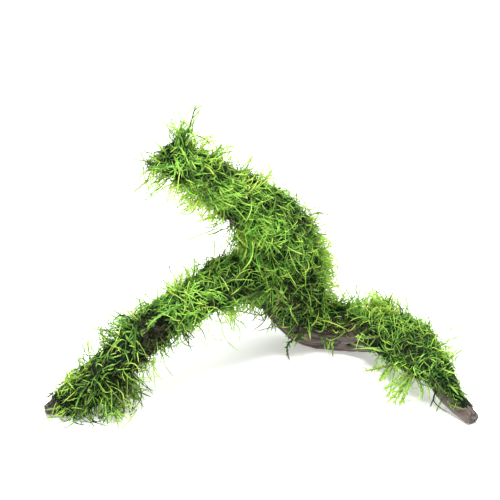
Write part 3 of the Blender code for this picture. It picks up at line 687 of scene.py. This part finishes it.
class Tangle:
    """Fronds and threads gathered into one mesh, with a growth colour at each point.

    The growth colour holds how far along its frond a point is, the frond's tint from dark to
    yellow, and how pale and young it is.
    """

    # How wide a strand is at its root against its full width, how fast it widens from there,
    # where it would end if it ran out to a point, how fast it narrows, and how far a tooth leans.
    ROOT_WIDTH, WIDENS, RUNS_OUT, NARROWS, LEAN = 0.62, 1.5, 1.10, 3.2, 0.9
    CORNERS = ((0, 2), (2, 1), (1, 0))

    def __init__(self):
        self.points, self.faces, self.colours, self.count = [], [], [], 0

    def add(self, controls, side, width, rings, tooth, tint, young):
        """Adds fronds on Bezier curves, each a tapered blade with teeth where its leaves are."""
        number = len(controls)
        if not number:
            return
        t = np.linspace(0, 1, rings + 1)[None, :, None]
        centre, tangent = bezier(held_in(controls)[:, None], t)
        sides = unit(across(np.repeat(side[:, None, :], rings + 1, axis=1), tangent))
        over = np.cross(tangent, sides)
        step = np.linalg.norm(np.diff(centre, axis=1), axis=2).mean(axis=1)[:, None, None]
        widening = np.clip(self.ROOT_WIDTH + self.WIDENS * t, 0, 1)
        narrowing = np.clip((self.RUNS_OUT - t) * self.NARROWS, 0, 1)
        half = width[:, None, None] * 0.5 * (widening * narrowing)
        odd = np.arange(rings + 1)[None, :, None] % 2
        leaf = tangent * step * tooth * self.LEAN
        left = centre + sides * half * (1 - tooth * odd) + leaf * (1 - odd)
        right = centre - sides * half * (1 - tooth * (1 - odd)) + leaf * odd
        walls = np.stack((left, right, centre + over * half), axis=2)[:, :rings]
        points = np.concatenate((walls.reshape(number, rings * 3, 3), centre[:, rings:]), axis=1)
        each = points.shape[1]
        start = self.count + np.arange(number)[:, None, None] * each
        self.faces.append((self.blade(rings)[None] + start).reshape(-1, 3))
        self.points.append(points.reshape(-1, 3))
        colours = np.empty((number, each, 3))
        colours[..., 0] = np.append(np.repeat(np.arange(rings) / rings, 3), 1)
        colours[..., 1] = tint[:, None]
        colours[..., 2] = young[:, None]
        self.colours.append(colours.reshape(-1, 3))
        self.count += number * each

    def blade(self, rings):
        """The faces of one closed blade: rings of three points, and a point at its tip."""
        faces = [(0, 1, 2)]
        for low in range(0, rings * 3, 3):
            high = low + 3
            for i, j in self.CORNERS:
                if high < rings * 3:
                    faces += [(low + i, low + j, high + j), (low + i, high + j, high + i)]
                else:
                    faces.append((low + i, low + j, high))
        return np.array(faces)

    def make(self, name, nodes, material):
        """Makes the mesh, riding on the root in place of the given nodes."""
        points, faces = np.concatenate(self.points), np.concatenate(self.faces)
        mesh = bpy.data.meshes.new(name)
        mesh.vertices.add(len(points))
        mesh.loops.add(len(faces) * 3)
        mesh.loops.foreach_set("vertex_index", faces.astype(np.int32).ravel())
        mesh.polygons.add(len(faces))
        mesh.polygons.foreach_set("loop_start", np.arange(0, len(faces) * 3, 3, dtype=np.int32))
        move_points(mesh, points, above=0.35)
        mesh.update(calc_edges=True)
        paint(mesh, "growth", np.concatenate(self.colours))
        mesh.materials.append(material)
        obj = bpy.data.objects.new(name, mesh)
        bpy.context.scene.collection.objects.link(obj)
        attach(obj, "root")
        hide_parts(*nodes)


class Ground:
    """Places on the moss bed that a strand can root in, and how the moss grows at each one."""

    def __init__(self, bed, chosen):
        mesh = bed.data
        mesh.calc_loop_triangles()
        corners = np.empty(len(mesh.loop_triangles) * 3, int)
        mesh.loop_triangles.foreach_get("vertices", corners)
        corners = corners.reshape(-1, 3)
        corners = corners[chosen[corners].min(axis=1)]
        self.corners, self.points, self.normals = corners, points_of(mesh), normals_of(mesh)
        a, b, c = (self.points[corners[:, k]] for k in range(3))
        middle = (a + b + c) / 3
        limb, index = on_limbs(middle)
        self.tangent = by_limb(limb, index, "tangent")
        self.habit = habits(limb, by_limb(limb, index, "place"))
        area = np.linalg.norm(np.cross(b - a, c - a), axis=1) / 2
        thinned, clumping, sparsest, densest = 0.85, 2.2, 0.25, 2.2
        self.even = area * (1 - thinned * thinness(middle))
        clumps = 1 + clumping * noise_at(middle / MM, pitch=0.11, field=31)
        clumps = np.clip(clumps, sparsest, densest)
        self.dense = self.even * self.habit[:, 2] * clumps
        self.tree = tree_of(bed)

    def scatter(self, number, weight):
        """Roots spread over the bed by weight, with the ways out and along, and their habit."""
        pick = rng.choice(len(weight), number, p=weight / weight.sum())
        share = rng.random((number, 3)) + 1e-6
        share /= share.sum(axis=1, keepdims=True)
        corners = self.corners[pick]
        root = np.einsum("ij,ijk->ik", share, self.points[corners])
        normal = unit(np.einsum("ij,ijk->ik", share, self.normals[corners]))
        return root, normal, self.tangent[pick], self.habit[pick]

    def nearest(self, points):
        """The nearest place on the bed to each point, and the way out of the bed there."""
        found = [self.tree.find_nearest(Vector(point)) for point in points.tolist()]
        return np.array([hit[0] for hit in found]), np.array([hit[1] for hit in found])


def held_in(controls):
    """Curves drawn back toward their roots where they would leave the room of the object."""
    low, high = np.array(cad_bounds[0]), np.array(cad_bounds[1])
    room = (high - low) * PAST_SOLIDS
    root, reach = controls[:, :1], controls - controls[:, :1]
    limit = np.where(reach > 0, high + room - root, root - low + room)
    least_share = 0.05
    share = np.clip(limit / np.maximum(np.abs(reach), 1e-6), least_share, 1).min(axis=(1, 2))
    return root + reach * share[:, None, None]


def through(start, over, end):
    """Controls of curves that start, pass and end at the given places."""
    pull = 2 * over - (start + end) / 2
    return np.stack((start, start + (pull - start) * 2 / 3, end + (pull - end) * 2 / 3, end), axis=1)


# How strands in the mat vary: their length and height against the habit of their place, how
# high they run after a third of the way and at the end against that height, and how far a loose
# end stands out against the length.
LENGTHS, HEIGHTS, LOOSE_ENDS = (0.6, 1.4), (0.3, 1.2), (0.15, 0.5)
RISES, ENDS = (0.0, 1.2), (-0.6, 1.2)
# How high they arch at two thirds against that height, how far they lean along the limb and
# down, which shares of their turn the middle and the last third have, how unevenly they are
# tilted, and how surely they keep off bare wood.
ARCH, ALONG, DOWN, TURNS, TILT, KEEPS_OFF = 1.3, 0.5, 0.35, (0.6, 1.5), 0.4, 0.92


def lying(ground, number, stretch, lift, loose, turn):
    """Curves of strands that lie in the mat, each bent its own way, some with a loose end."""
    root, normal, tangent, habit = ground.scatter(number, ground.dense)
    length = habit[:, 0] * MM * stretch * rng.uniform(*LENGTHS, number)
    sweep = tangent * rng.choice((-ALONG, ALONG), (number, 1)) - UP * DOWN
    way = unit(across(any_way(number) + sweep, normal))
    aside = np.cross(normal, way)
    bend = np.radians(rng.normal(0, turn, number))[:, None]
    middle, last = (way * np.cos(bend * k) + aside * np.sin(bend * k) for k in TURNS)
    height = habit[:, 1] * MM * lift * rng.uniform(*HEIGHTS, number)
    rise = height * rng.uniform(*RISES, number)
    end = height * rng.uniform(*ENDS, number)
    end += (rng.random(number) < loose) * length * rng.uniform(*LOOSE_ENDS, number)
    third = length[:, None] / 3
    outline = [root + way * third]
    outline.append(outline[0] + middle * third)
    outline.append(outline[1] + last * third)
    controls = [root - normal * ROOT_DEPTH * MM]
    for point, above in zip(outline, (rise, ARCH * height, end)):
        spot, out = ground.nearest(point)
        controls.append(spot + out * above[:, None])
    side = unit(np.cross(middle, normal) + rng.normal(0, TILT, (number, 3)))
    controls = np.stack(controls, axis=1)
    over_bare = np.maximum(thinness(controls[:, 2]), thinness(controls[:, 3]))
    kept = rng.random(number) > KEEPS_OFF * over_bare
    return controls[kept], side[kept], length[kept], habit[kept]


def straying(ground, number, shortest, longest):
    """Curves of fine threads that stand out of the mat, bend more and more and droop."""
    spread, bends, root_height, droop = 0.8, (0.4, 1.5), 0.4, 0.25
    root, normal, _, habit = ground.scatter(number, ground.even)
    length = rng.uniform(shortest, longest, number) * MM * (habit[:, 0] / USUAL_LENGTH)
    first = unit(normal + any_way(number) * spread)
    bend = any_way(number) * rng.uniform(*bends, (number, 1))
    reach = length[:, None] / 3
    root = root + normal * habit[:, 1, None] * MM * root_height
    near = root + first * reach
    far = near + unit(first + bend * 0.7) * reach
    end = far + unit(first * 0.6 + bend * 1.4 - UP * droop) * reach
    return np.stack((root, near, far, end), axis=1), unit(bend + 0.2)


def placed(ground, strands):
    """Curves of the strands in a table, with their widths, tints and youths."""
    width, tint, young = (np.array([strand[k] for strand in strands], float) for k in range(3))
    start, over, end = (metres([strand[k] for strand in strands]) for k in range(3, 6))
    side = unit(np.cross(end - start, ground.nearest(over)[1]))
    return through(start, over, end), side, width * MM, tint, young


def sprays(ground, table):
    """Curves of the strands in each spray or tuft, rooted in the bed."""
    at_root, at_top, at_tip, lengths = 0.5, 0.24, 0.42, (0.35, 1.2)
    controls = []
    for number, scatter, *route in table:
        start, over, end = metres(route)
        root = ground.nearest(start + rng.normal(0, at_root, (number, 3)) * scatter * MM)[0]
        size = np.linalg.norm(end - start)
        grown = rng.uniform(*lengths, (number, 1))
        tip = root + (end - start + rng.normal(0, at_tip, (number, 3)) * size) * grown
        top = root + (over - start + rng.normal(0, at_top, (number, 3)) * size) * grown
        controls.append(through(root, top, tip))
    controls = np.concatenate(controls)
    return controls, any_way(len(controls))


def locks(ground, strands):
    """Curves of the longer locks that stand out of the outline, the first of each in full."""
    moss_height, foot_spread, shares = 5 * MM, 4.5, (0.3, 1.0)
    tip_spread, middle_spread, shoulder_at, bend_at, arch = 0.34, 0.17, 0.3, 0.66, 0.1
    controls = []
    for name, wanted in LOCKS.items():
        limb = LIMBS[name]
        for tip, lean in wanted:
            tip = metres(tip)
            index = limb.nearest(tip[None])[0][0]
            index = int(np.clip(index + lean * limb.STEPS, 0, len(limb.place) - 1))
            centre = limb.centre[index]
            outward = unit(across(tip - centre, limb.tangent[index]))
            foot = centre + outward * (limb.radius[index] + moss_height)
            start, normal = ground.nearest(foot + any_way(strands) * foot_spread * MM)
            start = start - normal * ROOT_DEPTH * MM
            share = rng.uniform(*shares, (strands, 1))
            share[0] = 1.0
            reach = tip - start
            size = np.linalg.norm(reach, axis=1)[:, None]
            scatter = rng.normal(0, tip_spread, (strands, 3)) * size * (1.1 - share)
            end = start + reach * share + scatter
            shoulder = start + outward * shoulder_at * size * share
            bend = start + (end - start) * bend_at + UP * arch * size
            curve = np.stack((start, shoulder, bend, end), axis=1)
            curve[:, 1:3] += rng.normal(0, middle_spread, (strands, 2, 3)) * size[:, None]
            controls.append(curve)
    controls = np.concatenate(controls)
    return controls, any_way(len(controls))


def branches(controls, side, length, each):
    """Short side branches on alternate sides of each frond, and which frond each is on."""
    lowest, stretch, leans, lengths = 0.2, 0.65, (35, 65), (0.16, 0.42)
    uneven, forward, droop = 0.25, 0.7, 0.12
    made, sides, owner = [], [], []
    number = len(controls)
    for k in range(each):
        t = (lowest + stretch * (k + rng.uniform(0.1, 0.9, number)) / each)[:, None]
        root, tangent = bezier(controls, t)
        out = unit(across(side, tangent)) * (1 if k % 2 else -1)
        over = np.cross(tangent, out)
        lean = np.radians(rng.uniform(*leans, number))[:, None]
        first = tangent * np.cos(lean) + out * np.sin(lean)
        first = unit(first + over * rng.normal(0, uneven, (number, 1)))
        last = unit(first + tangent * forward - UP * droop)
        reach = (length * rng.uniform(*lengths, number))[:, None] * (1.15 - 0.6 * t) / 3
        far = root + first * reach * 2 + last * reach * 0.3
        made.append(np.stack((root, root + first * reach, far, far + last * reach), axis=1))
        sides.append(unit(across(side, first)) + over * 0.3)
        owner.append(np.arange(number))
    return tuple(np.concatenate(group) for group in (made, sides, owner))


class Coat:
    """The whole coat of moss: strands gathered into one tangle for each stretch of a limb.

    A stretch is given by the nodes that it dresses, its limb, and where it starts and stops.
    """

    STRETCHES = {
        "moss_fronds_right_leg": (["moss_right_leg"], "stem", 0.0, 4.9),
        "moss_fronds_belly": (["moss_right_leg"], "stem", 4.9, 8.9),
        "moss_fronds_trunk": (["moss_right_leg"], "stem", 8.9, 10.3),
        "moss_fronds_fork": (["moss_right_leg", "moss_upper_branch"], "stem", 10.3, 12.0),
        "moss_fronds_upper_branch": (["moss_upper_branch"], "stem", 12.0, 99.0),
        "moss_fronds_twig": (["moss_upper_branch"], "twig", 0.0, 99.0),
        "moss_fronds_left_leg": (["moss_left_leg"], "left", 0.0, 4.6),
        "moss_fronds_left_foot": (["moss_left_leg"], "left", 4.6, 99.0),
    }
    # How far the tint varies from place to place, and how much younger and paler strands are where
    # the tone is lighter by more than a little, which adds to the painted light there.
    MOTTLE, YOUTH, YOUNG_FROM = 0.50, 0.7, 0.15

    def __init__(self, material):
        self.material = material
        self.tangles = {name: Tangle() for name in self.STRETCHES}

    def add(self, controls, side, width, rings, tooth, tint, young):
        """Adds strands to the stretch that each is rooted in, in the tone of their place, painted
        light and shade included.
        """
        limb, index = on_limbs(controls[:, 0])
        place = by_limb(limb, index, "place")
        tone = tones(controls[:, 2])
        mottle = self.MOTTLE * noise_at(controls[:, 0] / MM, pitch=0.085, field=41)
        # The habit's lightness and the tones are partly painted light and shade; the mottle is the
        # moss's own random tone.
        light = habits(limb, place)[:, 4] + mottle + tone
        young = young + self.YOUTH * np.clip(tone - self.YOUNG_FROM, 0, 0.6)
        for name, (_, stretch, start, stop) in self.STRETCHES.items():
            here = (limb == LIMB_NAMES.index(stretch)) & (place >= start) & (place < stop)
            tinted = np.clip(tint[here] + light[here], 0, 1)
            self.tangles[name].add(controls[here], side[here], width[here], rings, tooth,
                                   tinted, young[here])

    def add_loose(self, controls, side, rings, width, tint, young):
        """Adds strands whose width in millimetres, tint and youth are drawn."""
        number = len(controls)
        width = drawn(number, *width) * MM
        tint = drawn(number, *tint)
        self.add(controls, side, width, rings, LOOSE_TOOTH, tint, drawn(number, *young))

    def make(self):
        """Makes the mesh of each stretch."""
        for name, (nodes, *_) in self.STRETCHES.items():
            self.tangles[name].make(name, nodes, self.material)


def grow_coat(ground, coat):
    """Grows the layers of the mat, the locks and tufts, and the single strands."""
    thinnest, thickest, tooth = 0.45, 2.4, 0.42
    width_spread, tint_spread, young_spread = 0.18, 0.26, 0.10
    twig_rings, twig_tooth, twig_width, twig_young = 5, 0.4, 0.7, 0.05
    # The darker tints of the lower layers are painted shade deep in the mat.
    for number, stretch, lift, loose, wide, shade, fresh, rings, twigs, turn in LAYERS:
        controls, side, length, habit = lying(ground, number, stretch, lift, loose, turn)
        number = len(controls)
        width = rng.normal(wide, width_spread, number) * habit[:, 3]
        width = np.clip(width, thinnest, thickest) * MM
        tint, young = drawn(number, shade, tint_spread), drawn(number, fresh, young_spread)
        coat.add(controls, side, width, rings, tooth, tint, young)
        if twigs:
            more, sides, owner = branches(controls, side, length, twigs)
            coat.add(more, sides, width[owner] * twig_width, twig_rings, twig_tooth,
                     tint[owner], young[owner] + twig_young)

    coat.add_loose(*locks(ground, strands=6), rings=14,
                   width=(0.75, 0.15, 0.5, 1.1), tint=(0.6, 0.18), young=(0.4, 0.25))
    coat.add_loose(*sprays(ground, TUFTS), rings=11,
                   width=(0.9, 0.2, 0.5, 1.4), tint=(0.42, 0.25), young=(0.1, 0.1))

    broad_tooth, fine_tooth, rings = 0.4, 0.15, 16
    twigs, twig_rings, twig_length, twig_width = 6, 6, 0.6, 0.5
    strands = placed(ground, STRANDS)
    broad = strands[2] > BROAD * MM
    for these, tooth in ((broad, broad_tooth), (~broad, fine_tooth)):
        controls, side, width, tint, young = (each[these] for each in strands)
        coat.add(controls, side, width, rings, tooth, tint, young)
    controls, side, width, tint, young = (each[broad] for each in strands)
    length = np.linalg.norm(controls[:, 3] - controls[:, 0], axis=1)
    more, sides, owner = branches(controls, side, length * twig_length, twigs)
    coat.add(more, sides, width[owner] * twig_width, twig_rings, broad_tooth,
             tint[owner], young[owner])


def add_threads(tangle, controls, side, rings, widths, tooth, youngest):
    """Adds pale threads whose width in millimetres, tint and youth are drawn."""
    number = len(controls)
    width = rng.uniform(*widths, number) * MM
    # The tones add their painted light and shade to the threads' tint.
    tint = np.clip(rng.uniform(0.2, 1.0, number) + 0.8 * tones(controls[:, 2]), 0, 1)
    tangle.add(controls, side, width, rings, tooth, tint, rng.random(number) * youngest)


def grow_threads(ground, tangle):
    """Fine pale threads all over the mats, and sprays of them at their edges."""
    for group in THREADS:
        add_threads(tangle, *straying(ground, *group), rings=6, widths=(0.40, 0.75),
                    tooth=0.15, youngest=0.6)
    add_threads(tangle, *sprays(ground, SPRAYS), rings=9, widths=(0.45, 0.95),
                tooth=0.3, youngest=0.8)


def grow_rootlets(ground, tangle):
    """Short brown and olive hairs where the moss ends on the wood, and a few long rootlets."""
    widths, tooth = (0.25, 0.5), 0.1
    for group in HAIRS:
        controls, side = straying(ground, *group)
        number = len(controls)
        width = rng.uniform(*widths, number) * MM
        tangle.add(controls, side, width, 5, tooth, rng.random(number), np.zeros(number))
    controls, side, width, tint, young = placed(ground, ROOTLETS)
    tangle.add(controls, side, width, 14, tooth, tint, young)


# ---- Finishes --------------------------------------------------------------------------------

# Colours at the places of a ramp, from dark to light.
WOOD_BROWNS = [(0.25, (0.030, 0.020, 0.016)), (0.45, (0.085, 0.058, 0.044)),
               (0.60, (0.150, 0.098, 0.070)), (0.78, (0.26, 0.155, 0.100))]
# The felt is nearly black: its own dark green with painted shade deep in the mat.
FELT_GREENS_AND_SHADE = [(0.30, (0.002, 0.005, 0.003)), (0.50, (0.006, 0.015, 0.006)),
               (0.68, (0.016, 0.038, 0.011)), (0.85, (0.04, 0.085, 0.016))]
FROND_GREENS = [(0.0, (0.004, 0.024, 0.008)), (0.3, (0.009, 0.088, 0.016)),
                (0.6, (0.046, 0.295, 0.032)), (1.0, (0.33, 0.74, 0.11))]
THREAD_GREENS = [(0.0, (0.02, 0.14, 0.02)), (0.3, (0.10, 0.38, 0.04)),
                 (0.6, (0.38, 0.72, 0.08)), (1.0, (0.76, 0.90, 0.24))]
ROOTLET_BROWNS = [(0.0, (0.018, 0.019, 0.011)), (0.5, (0.050, 0.058, 0.026)),
                  (1.0, (0.13, 0.17, 0.06))]
BLACK_TO_WHITE = [(0.0, (0.0, 0.0, 0.0)), (1.0, (1.0, 1.0, 1.0))]

WOOD_STREAK = (0.024, 0.018, 0.016)
WOOD_GREY = (0.15, 0.115, 0.105)
WOOD_FISSURE = (0.012, 0.009, 0.008)
WOOD_GREEN = (0.028, 0.038, 0.025)
FELT_BROWN = (0.014, 0.011, 0.007)
FELT_SHADE = (0.002, 0.004, 0.003)

# How each kind of strand looks: its greens or browns by its tint, the colour of its young tips,
# how much light comes through it, and how bright that light is.
STRAND_LOOKS = {
    "moss_fronds": (FROND_GREENS, (0.66, 0.80, 0.17), 0.34, 1.4),
    "moss_threads": (THREAD_GREENS, (0.84, 0.92, 0.30), 0.6, 1.1),
    "moss_rootlets": (ROOTLET_BROWNS, (0.14, 0.15, 0.04), 0.2, 1.2),
}


def give(node, **sockets):
    """Sets sockets of a node. An underscore in a name stands for a space."""
    for name, value in sockets.items():
        node.inputs[name.replace("_", " ")].default_value = value


class Shader:
    """Short ways to place and join nodes in one material or group."""

    def __init__(self, tree):
        self.tree = tree

    def node(self, kind, **settings):
        made = self.tree.nodes.new(kind)
        for name, value in settings.items():
            setattr(made, name, value)
        return made

    def join(self, source, target):
        self.tree.links.new(source, target)

    def feed(self, target, value):
        if isinstance(value, bpy.types.NodeSocket):
            self.join(value, target)
        else:
            target.default_value = value

    def math(self, operation, a, b, clamp=False):
        made = self.node("ShaderNodeMath", operation=operation, use_clamp=clamp)
        self.feed(made.inputs[0], a)
        self.feed(made.inputs[1], b)
        return made.outputs[0]

    def noise(self, vector, scale, detail, rough):
        made = self.node("ShaderNodeTexNoise")
        self.join(vector, made.inputs["Vector"])
        give(made, Scale=scale, Detail=detail, Roughness=rough)
        return made.outputs["Fac"]

    def ramp(self, factor, stops):
        made = self.node("ShaderNodeValToRGB")
        elements = made.color_ramp.elements
        while len(elements) < len(stops):
            elements.new(0.5)
        for element, (place, colour) in zip(elements, stops):
            element.position = place
            element.color = (*colour, 1)
        self.join(factor, made.inputs["Fac"])
        return made.outputs["Color"]

    def mix(self, factor, a, b, blend="MIX"):
        made = self.node("ShaderNodeMix", data_type="RGBA", blend_type=blend)
        self.feed(made.inputs[0], factor)
        for place, value in ((6, a), (7, b)):
            if isinstance(value, tuple):
                value = (*value, 1)
            self.feed(made.inputs[place], value)
        return made.outputs[2]

    def span(self, value, low, high, to_low, to_high):
        """A value from low to high, as one from to_low to to_high."""
        made = self.node("ShaderNodeMapRange")
        self.join(value, made.inputs[0])
        for place, number in enumerate((low, high, to_low, to_high), 1):
            made.inputs[place].default_value = number
        return made.outputs[0]

    def bump(self, height, strength, distance):
        made = self.node("ShaderNodeBump")
        give(made, Strength=strength, Distance=distance)
        self.join(height, made.inputs["Height"])
        return made.outputs["Normal"]

    def attribute(self, name, output="Color"):
        return self.node("ShaderNodeAttribute", attribute_name=name).outputs[output]

    def channels(self, colour):
        made = self.node("ShaderNodeSeparateColor")
        self.join(colour, made.inputs[0])
        return made.outputs[:3]

    def place(self):
        return self.node("ShaderNodeTexCoord").outputs["Object"]


def new_material(name):
    material = bpy.data.materials.new(name)
    material.use_nodes = True
    shader = Shader(material.node_tree)
    principled = material.node_tree.nodes["Principled BSDF"]
    output = material.node_tree.nodes["Material Output"]
    return material, shader, principled, output


def driftwood_finish():
    """Wet weathered root: dark grey-brown, streaked along its grain, green near the moss."""
    material, s, principled, _ = new_material("wet_driftwood")
    bare, fissure, _ = s.channels(s.attribute("marks"))
    stretched = s.node("ShaderNodeMapping")
    give(stretched, Scale=(1, 1, 0.06))
    s.join(s.attribute("grain", "Vector"), stretched.inputs["Vector"])
    streaks = s.noise(stretched.outputs[0], scale=900, detail=5, rough=0.65)
    bands = s.noise(stretched.outputs[0], scale=260, detail=3, rough=0.5)
    place = s.place()
    patches = s.noise(place, scale=45, detail=3, rough=0.5)
    speckle = s.noise(place, scale=1400, detail=2, rough=0.6)
    colour = s.ramp(bands, WOOD_BROWNS)
    colour = s.mix(s.span(streaks, 0.35, 0.62, 0.75, 0.0), colour, WOOD_STREAK)
    colour = s.mix(s.span(patches, 0.45, 0.68, 0.0, 0.5), colour, WOOD_GREY)
    colour = s.mix(s.math("MULTIPLY", fissure, 0.85), colour, WOOD_FISSURE)
    mossy = s.math("SUBTRACT", 1.0, bare)
    green = s.math("MULTIPLY", mossy, s.span(speckle, 0.4, 0.62, 0.35, 0.9))
    colour = s.mix(green, colour, WOOD_GREEN)
    s.join(colour, principled.inputs["Base Color"])
    s.join(s.span(streaks, 0.3, 0.7, 0.62, 0.36), principled.inputs["Roughness"])
    height = s.math("ADD", s.math("MULTIPLY", streaks, 0.7), s.math("MULTIPLY", speckle, 0.3))
    s.join(s.bump(height, strength=0.6, distance=0.6 * MM), principled.inputs["Normal"])
    give(principled, Specular_IOR_Level=0.35, Coat_Weight=0.08, Coat_Roughness=0.25)
    return material


def bed_finish():
    """Old moss: nearly black green, mostly painted shade deep in the mat, with olive and brown
    specks, and painted shade in its dips.
    """
    material, s, principled, _ = new_material("moss_bed")
    place = s.place()
    felt = s.noise(place, scale=1100, detail=4, rough=0.7)
    patches = s.noise(place, scale=90, detail=2, rough=0.5)
    height = s.channels(s.attribute("marks"))[0]
    colour = s.ramp(felt, FELT_GREENS_AND_SHADE)
    colour = s.mix(s.span(patches, 0.5, 0.75, 0.0, 0.6), colour, FELT_BROWN)
    # Painted shade in the dips between the lumps.
    colour = s.mix(s.span(height, 0.0, 1.0, 0.5, 0.0), colour, FELT_SHADE)
    s.join(colour, principled.inputs["Base Color"])
    s.join(s.span(felt, 0.3, 0.7, 0.85, 0.6), principled.inputs["Roughness"])
    s.join(s.bump(felt, strength=0.9, distance=1.2 * MM), principled.inputs["Normal"])
    give(principled, Specular_IOR_Level=0.1)
    return material


def strand_growth():
    """The group that all strands share: their tone, pale tips, shaded roots and leaf cells."""
    group = bpy.data.node_groups.new("strand_growth", "ShaderNodeTree")
    for name, kind in (("Growth", "NodeSocketColor"), ("Place", "NodeSocketVector")):
        group.interface.new_socket(name=name, in_out="INPUT", socket_type=kind)
    for name in ("Tone", "Tip", "Shade", "Cells"):
        group.interface.new_socket(name=name, in_out="OUTPUT", socket_type="NodeSocketFloat")
    s = Shader(group)
    given, result = s.node("NodeGroupInput").outputs, s.node("NodeGroupOutput").inputs
    along, tint, young = s.channels(given["Growth"])
    cells = s.noise(given["Place"], scale=2200, detail=2, rough=0.6)
    clouds = s.noise(given["Place"], scale=38, detail=2, rough=0.5)
    mottled = s.math("ADD", tint, s.span(clouds, 0.3, 0.7, -0.22, 0.22))
    tone = s.math("ADD", mottled, s.span(cells, 0.3, 0.7, -0.10, 0.10), clamp=True)
    paler = s.math("MULTIPLY", s.math("POWER", along, 1.6), s.math("MULTIPLY", tone, 0.45))
    tip = s.math("ADD", paler, s.math("MULTIPLY", young, 0.75), clamp=True)
    shade = s.span(along, 0.0, 0.40, 0.25, 1.0)
    for name, value in (("Tone", tone), ("Tip", tip), ("Shade", shade), ("Cells", cells)):
        s.join(value, result[name])
    return group


def strand_finish(name, group):
    """Thin wet leaves: green by the strand's tint, yellower to its tip, letting light through."""
    stops, tip_colour, clear, glow = STRAND_LOOKS[name]
    material, s, principled, output = new_material(name)
    growth = s.node("ShaderNodeGroup", node_tree=group)
    s.join(s.attribute("growth"), growth.inputs["Growth"])
    s.join(s.place(), growth.inputs["Place"])
    tone, tip, shade, cells = growth.outputs[:4]
    colour = s.mix(tip, s.ramp(tone, stops), tip_colour)
    colour = s.mix(1.0, colour, s.ramp(shade, BLACK_TO_WHITE), "MULTIPLY")
    s.join(colour, principled.inputs["Base Color"])
    s.join(s.span(cells, 0.3, 0.7, 0.55, 0.34), principled.inputs["Roughness"])
    s.join(s.bump(cells, strength=0.3, distance=0.3 * MM), principled.inputs["Normal"])
    give(principled, Specular_IOR_Level=0.16)
    bright = s.node("ShaderNodeHueSaturation")
    give(bright, Saturation=1.1, Value=glow)
    s.join(colour, bright.inputs["Color"])
    behind = s.node("ShaderNodeBsdfTranslucent")
    s.join(bright.outputs["Color"], behind.inputs["Color"])
    blend = s.node("ShaderNodeMixShader")
    give(blend, Fac=clear)
    s.join(principled.outputs[0], blend.inputs[1])
    s.join(behind.outputs[0], blend.inputs[2])
    s.join(blend.outputs[0], output.inputs["Surface"])
    return material


def main():
    """The driftwood, the bed of moss on it, and all the strands that grow out of the bed."""
    grown_enough, still_edge, least_cover = 0.35, 0.9, 0.4 * MM
    moss_trees = [tree_of(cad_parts[node]) for node in MOSS]
    wood = make_driftwood(moss_trees)
    wood.data.materials.append(driftwood_finish())
    bed, grown, cover = make_bed(moss_trees)
    bed.data.materials.append(bed_finish())

    growth = strand_growth()
    ground = Ground(bed, grown > grown_enough)
    coat = Coat(strand_finish("moss_fronds", growth))
    grow_coat(ground, coat)
    coat.make()
    threads = Tangle()
    grow_threads(ground, threads)
    threads.make("moss_threads", MOSS, strand_finish("moss_threads", growth))
    rootlets = Tangle()
    grow_rootlets(Ground(bed, (grown < still_edge) & (cover > least_cover)), rootlets)
    rootlets.make("moss_rootlets", MOSS, strand_finish("moss_rootlets", growth))


# ---- Studio ----------------------------------------------------------------------------------


def white_floor():
    """A plain white floor with a little glow of its own, which softens the shadows."""
    bpy.ops.object.select_all(action="DESELECT")
    bpy.ops.mesh.primitive_plane_add(size=40)
    floor = bpy.context.active_object
    floor.name = "floor"
    material, _, principled, _ = new_material("white_floor")
    give(principled, Base_Color=(0.90, 0.90, 0.89, 1), Emission_Color=(1.0, 1.0, 0.97, 1),
         Emission_Strength=0.42, Roughness=0.8, Specular_IOR_Level=0.2)
    floor.data.materials.append(material)


def soft_light():
    """A white dome that is brightest overhead, and a small lamp in front and above."""
    horizon, overhead, dims_from, bright_from = 0.4, 2.4, 0.6, 0.9
    brightest = Vector((0.22, 0.22, 1.0)).normalized()
    world = bpy.data.worlds.new("studio")
    bpy.context.scene.world = world
    world.use_nodes = True
    background = world.node_tree.nodes["Background"]
    give(background, Color=(1, 1, 1, 1))
    sky = Shader(world.node_tree)
    toward = sky.node("ShaderNodeVectorMath", operation="DOT_PRODUCT")
    sky.join(sky.node("ShaderNodeTexCoord").outputs["Generated"], toward.inputs[0])
    toward.inputs[1].default_value = brightest
    strength = sky.span(toward.outputs["Value"], dims_from, bright_from, horizon, overhead)
    sky.join(strength, background.inputs["Strength"])

    light = bpy.data.lights.new("overhead", "AREA")
    light.size = 0.2
    light.energy = 11
    lamp = bpy.data.objects.new("overhead", light)
    bpy.context.scene.collection.objects.link(lamp)
    lamp.location = (-0.05, -0.25, 0.80)
    aim = Vector((0, 0, 0.06)) - lamp.location
    lamp.rotation_euler = aim.to_track_quat("-Z", "Y").to_euler()


def camera():
    """The camera at the picture's place, looking level along Y and down at the moss."""
    target, away = metres((0, 50, 88)), 0.8
    elevation = math.radians(24)
    lens = bpy.data.cameras.new("camera")
    lens.sensor_width = 36
    lens.lens = 94.03
    shot = bpy.data.objects.new("camera", lens)
    bpy.context.scene.collection.objects.link(shot)
    shot.location = target + np.array((0, -math.cos(elevation), math.sin(elevation))) * away
    shot.rotation_euler = (math.pi / 2 - elevation, 0, 0)
    bpy.context.scene.camera = shot
    bpy.context.scene.view_settings.view_transform = "Standard"


main()
white_floor()
soft_light()
camera()
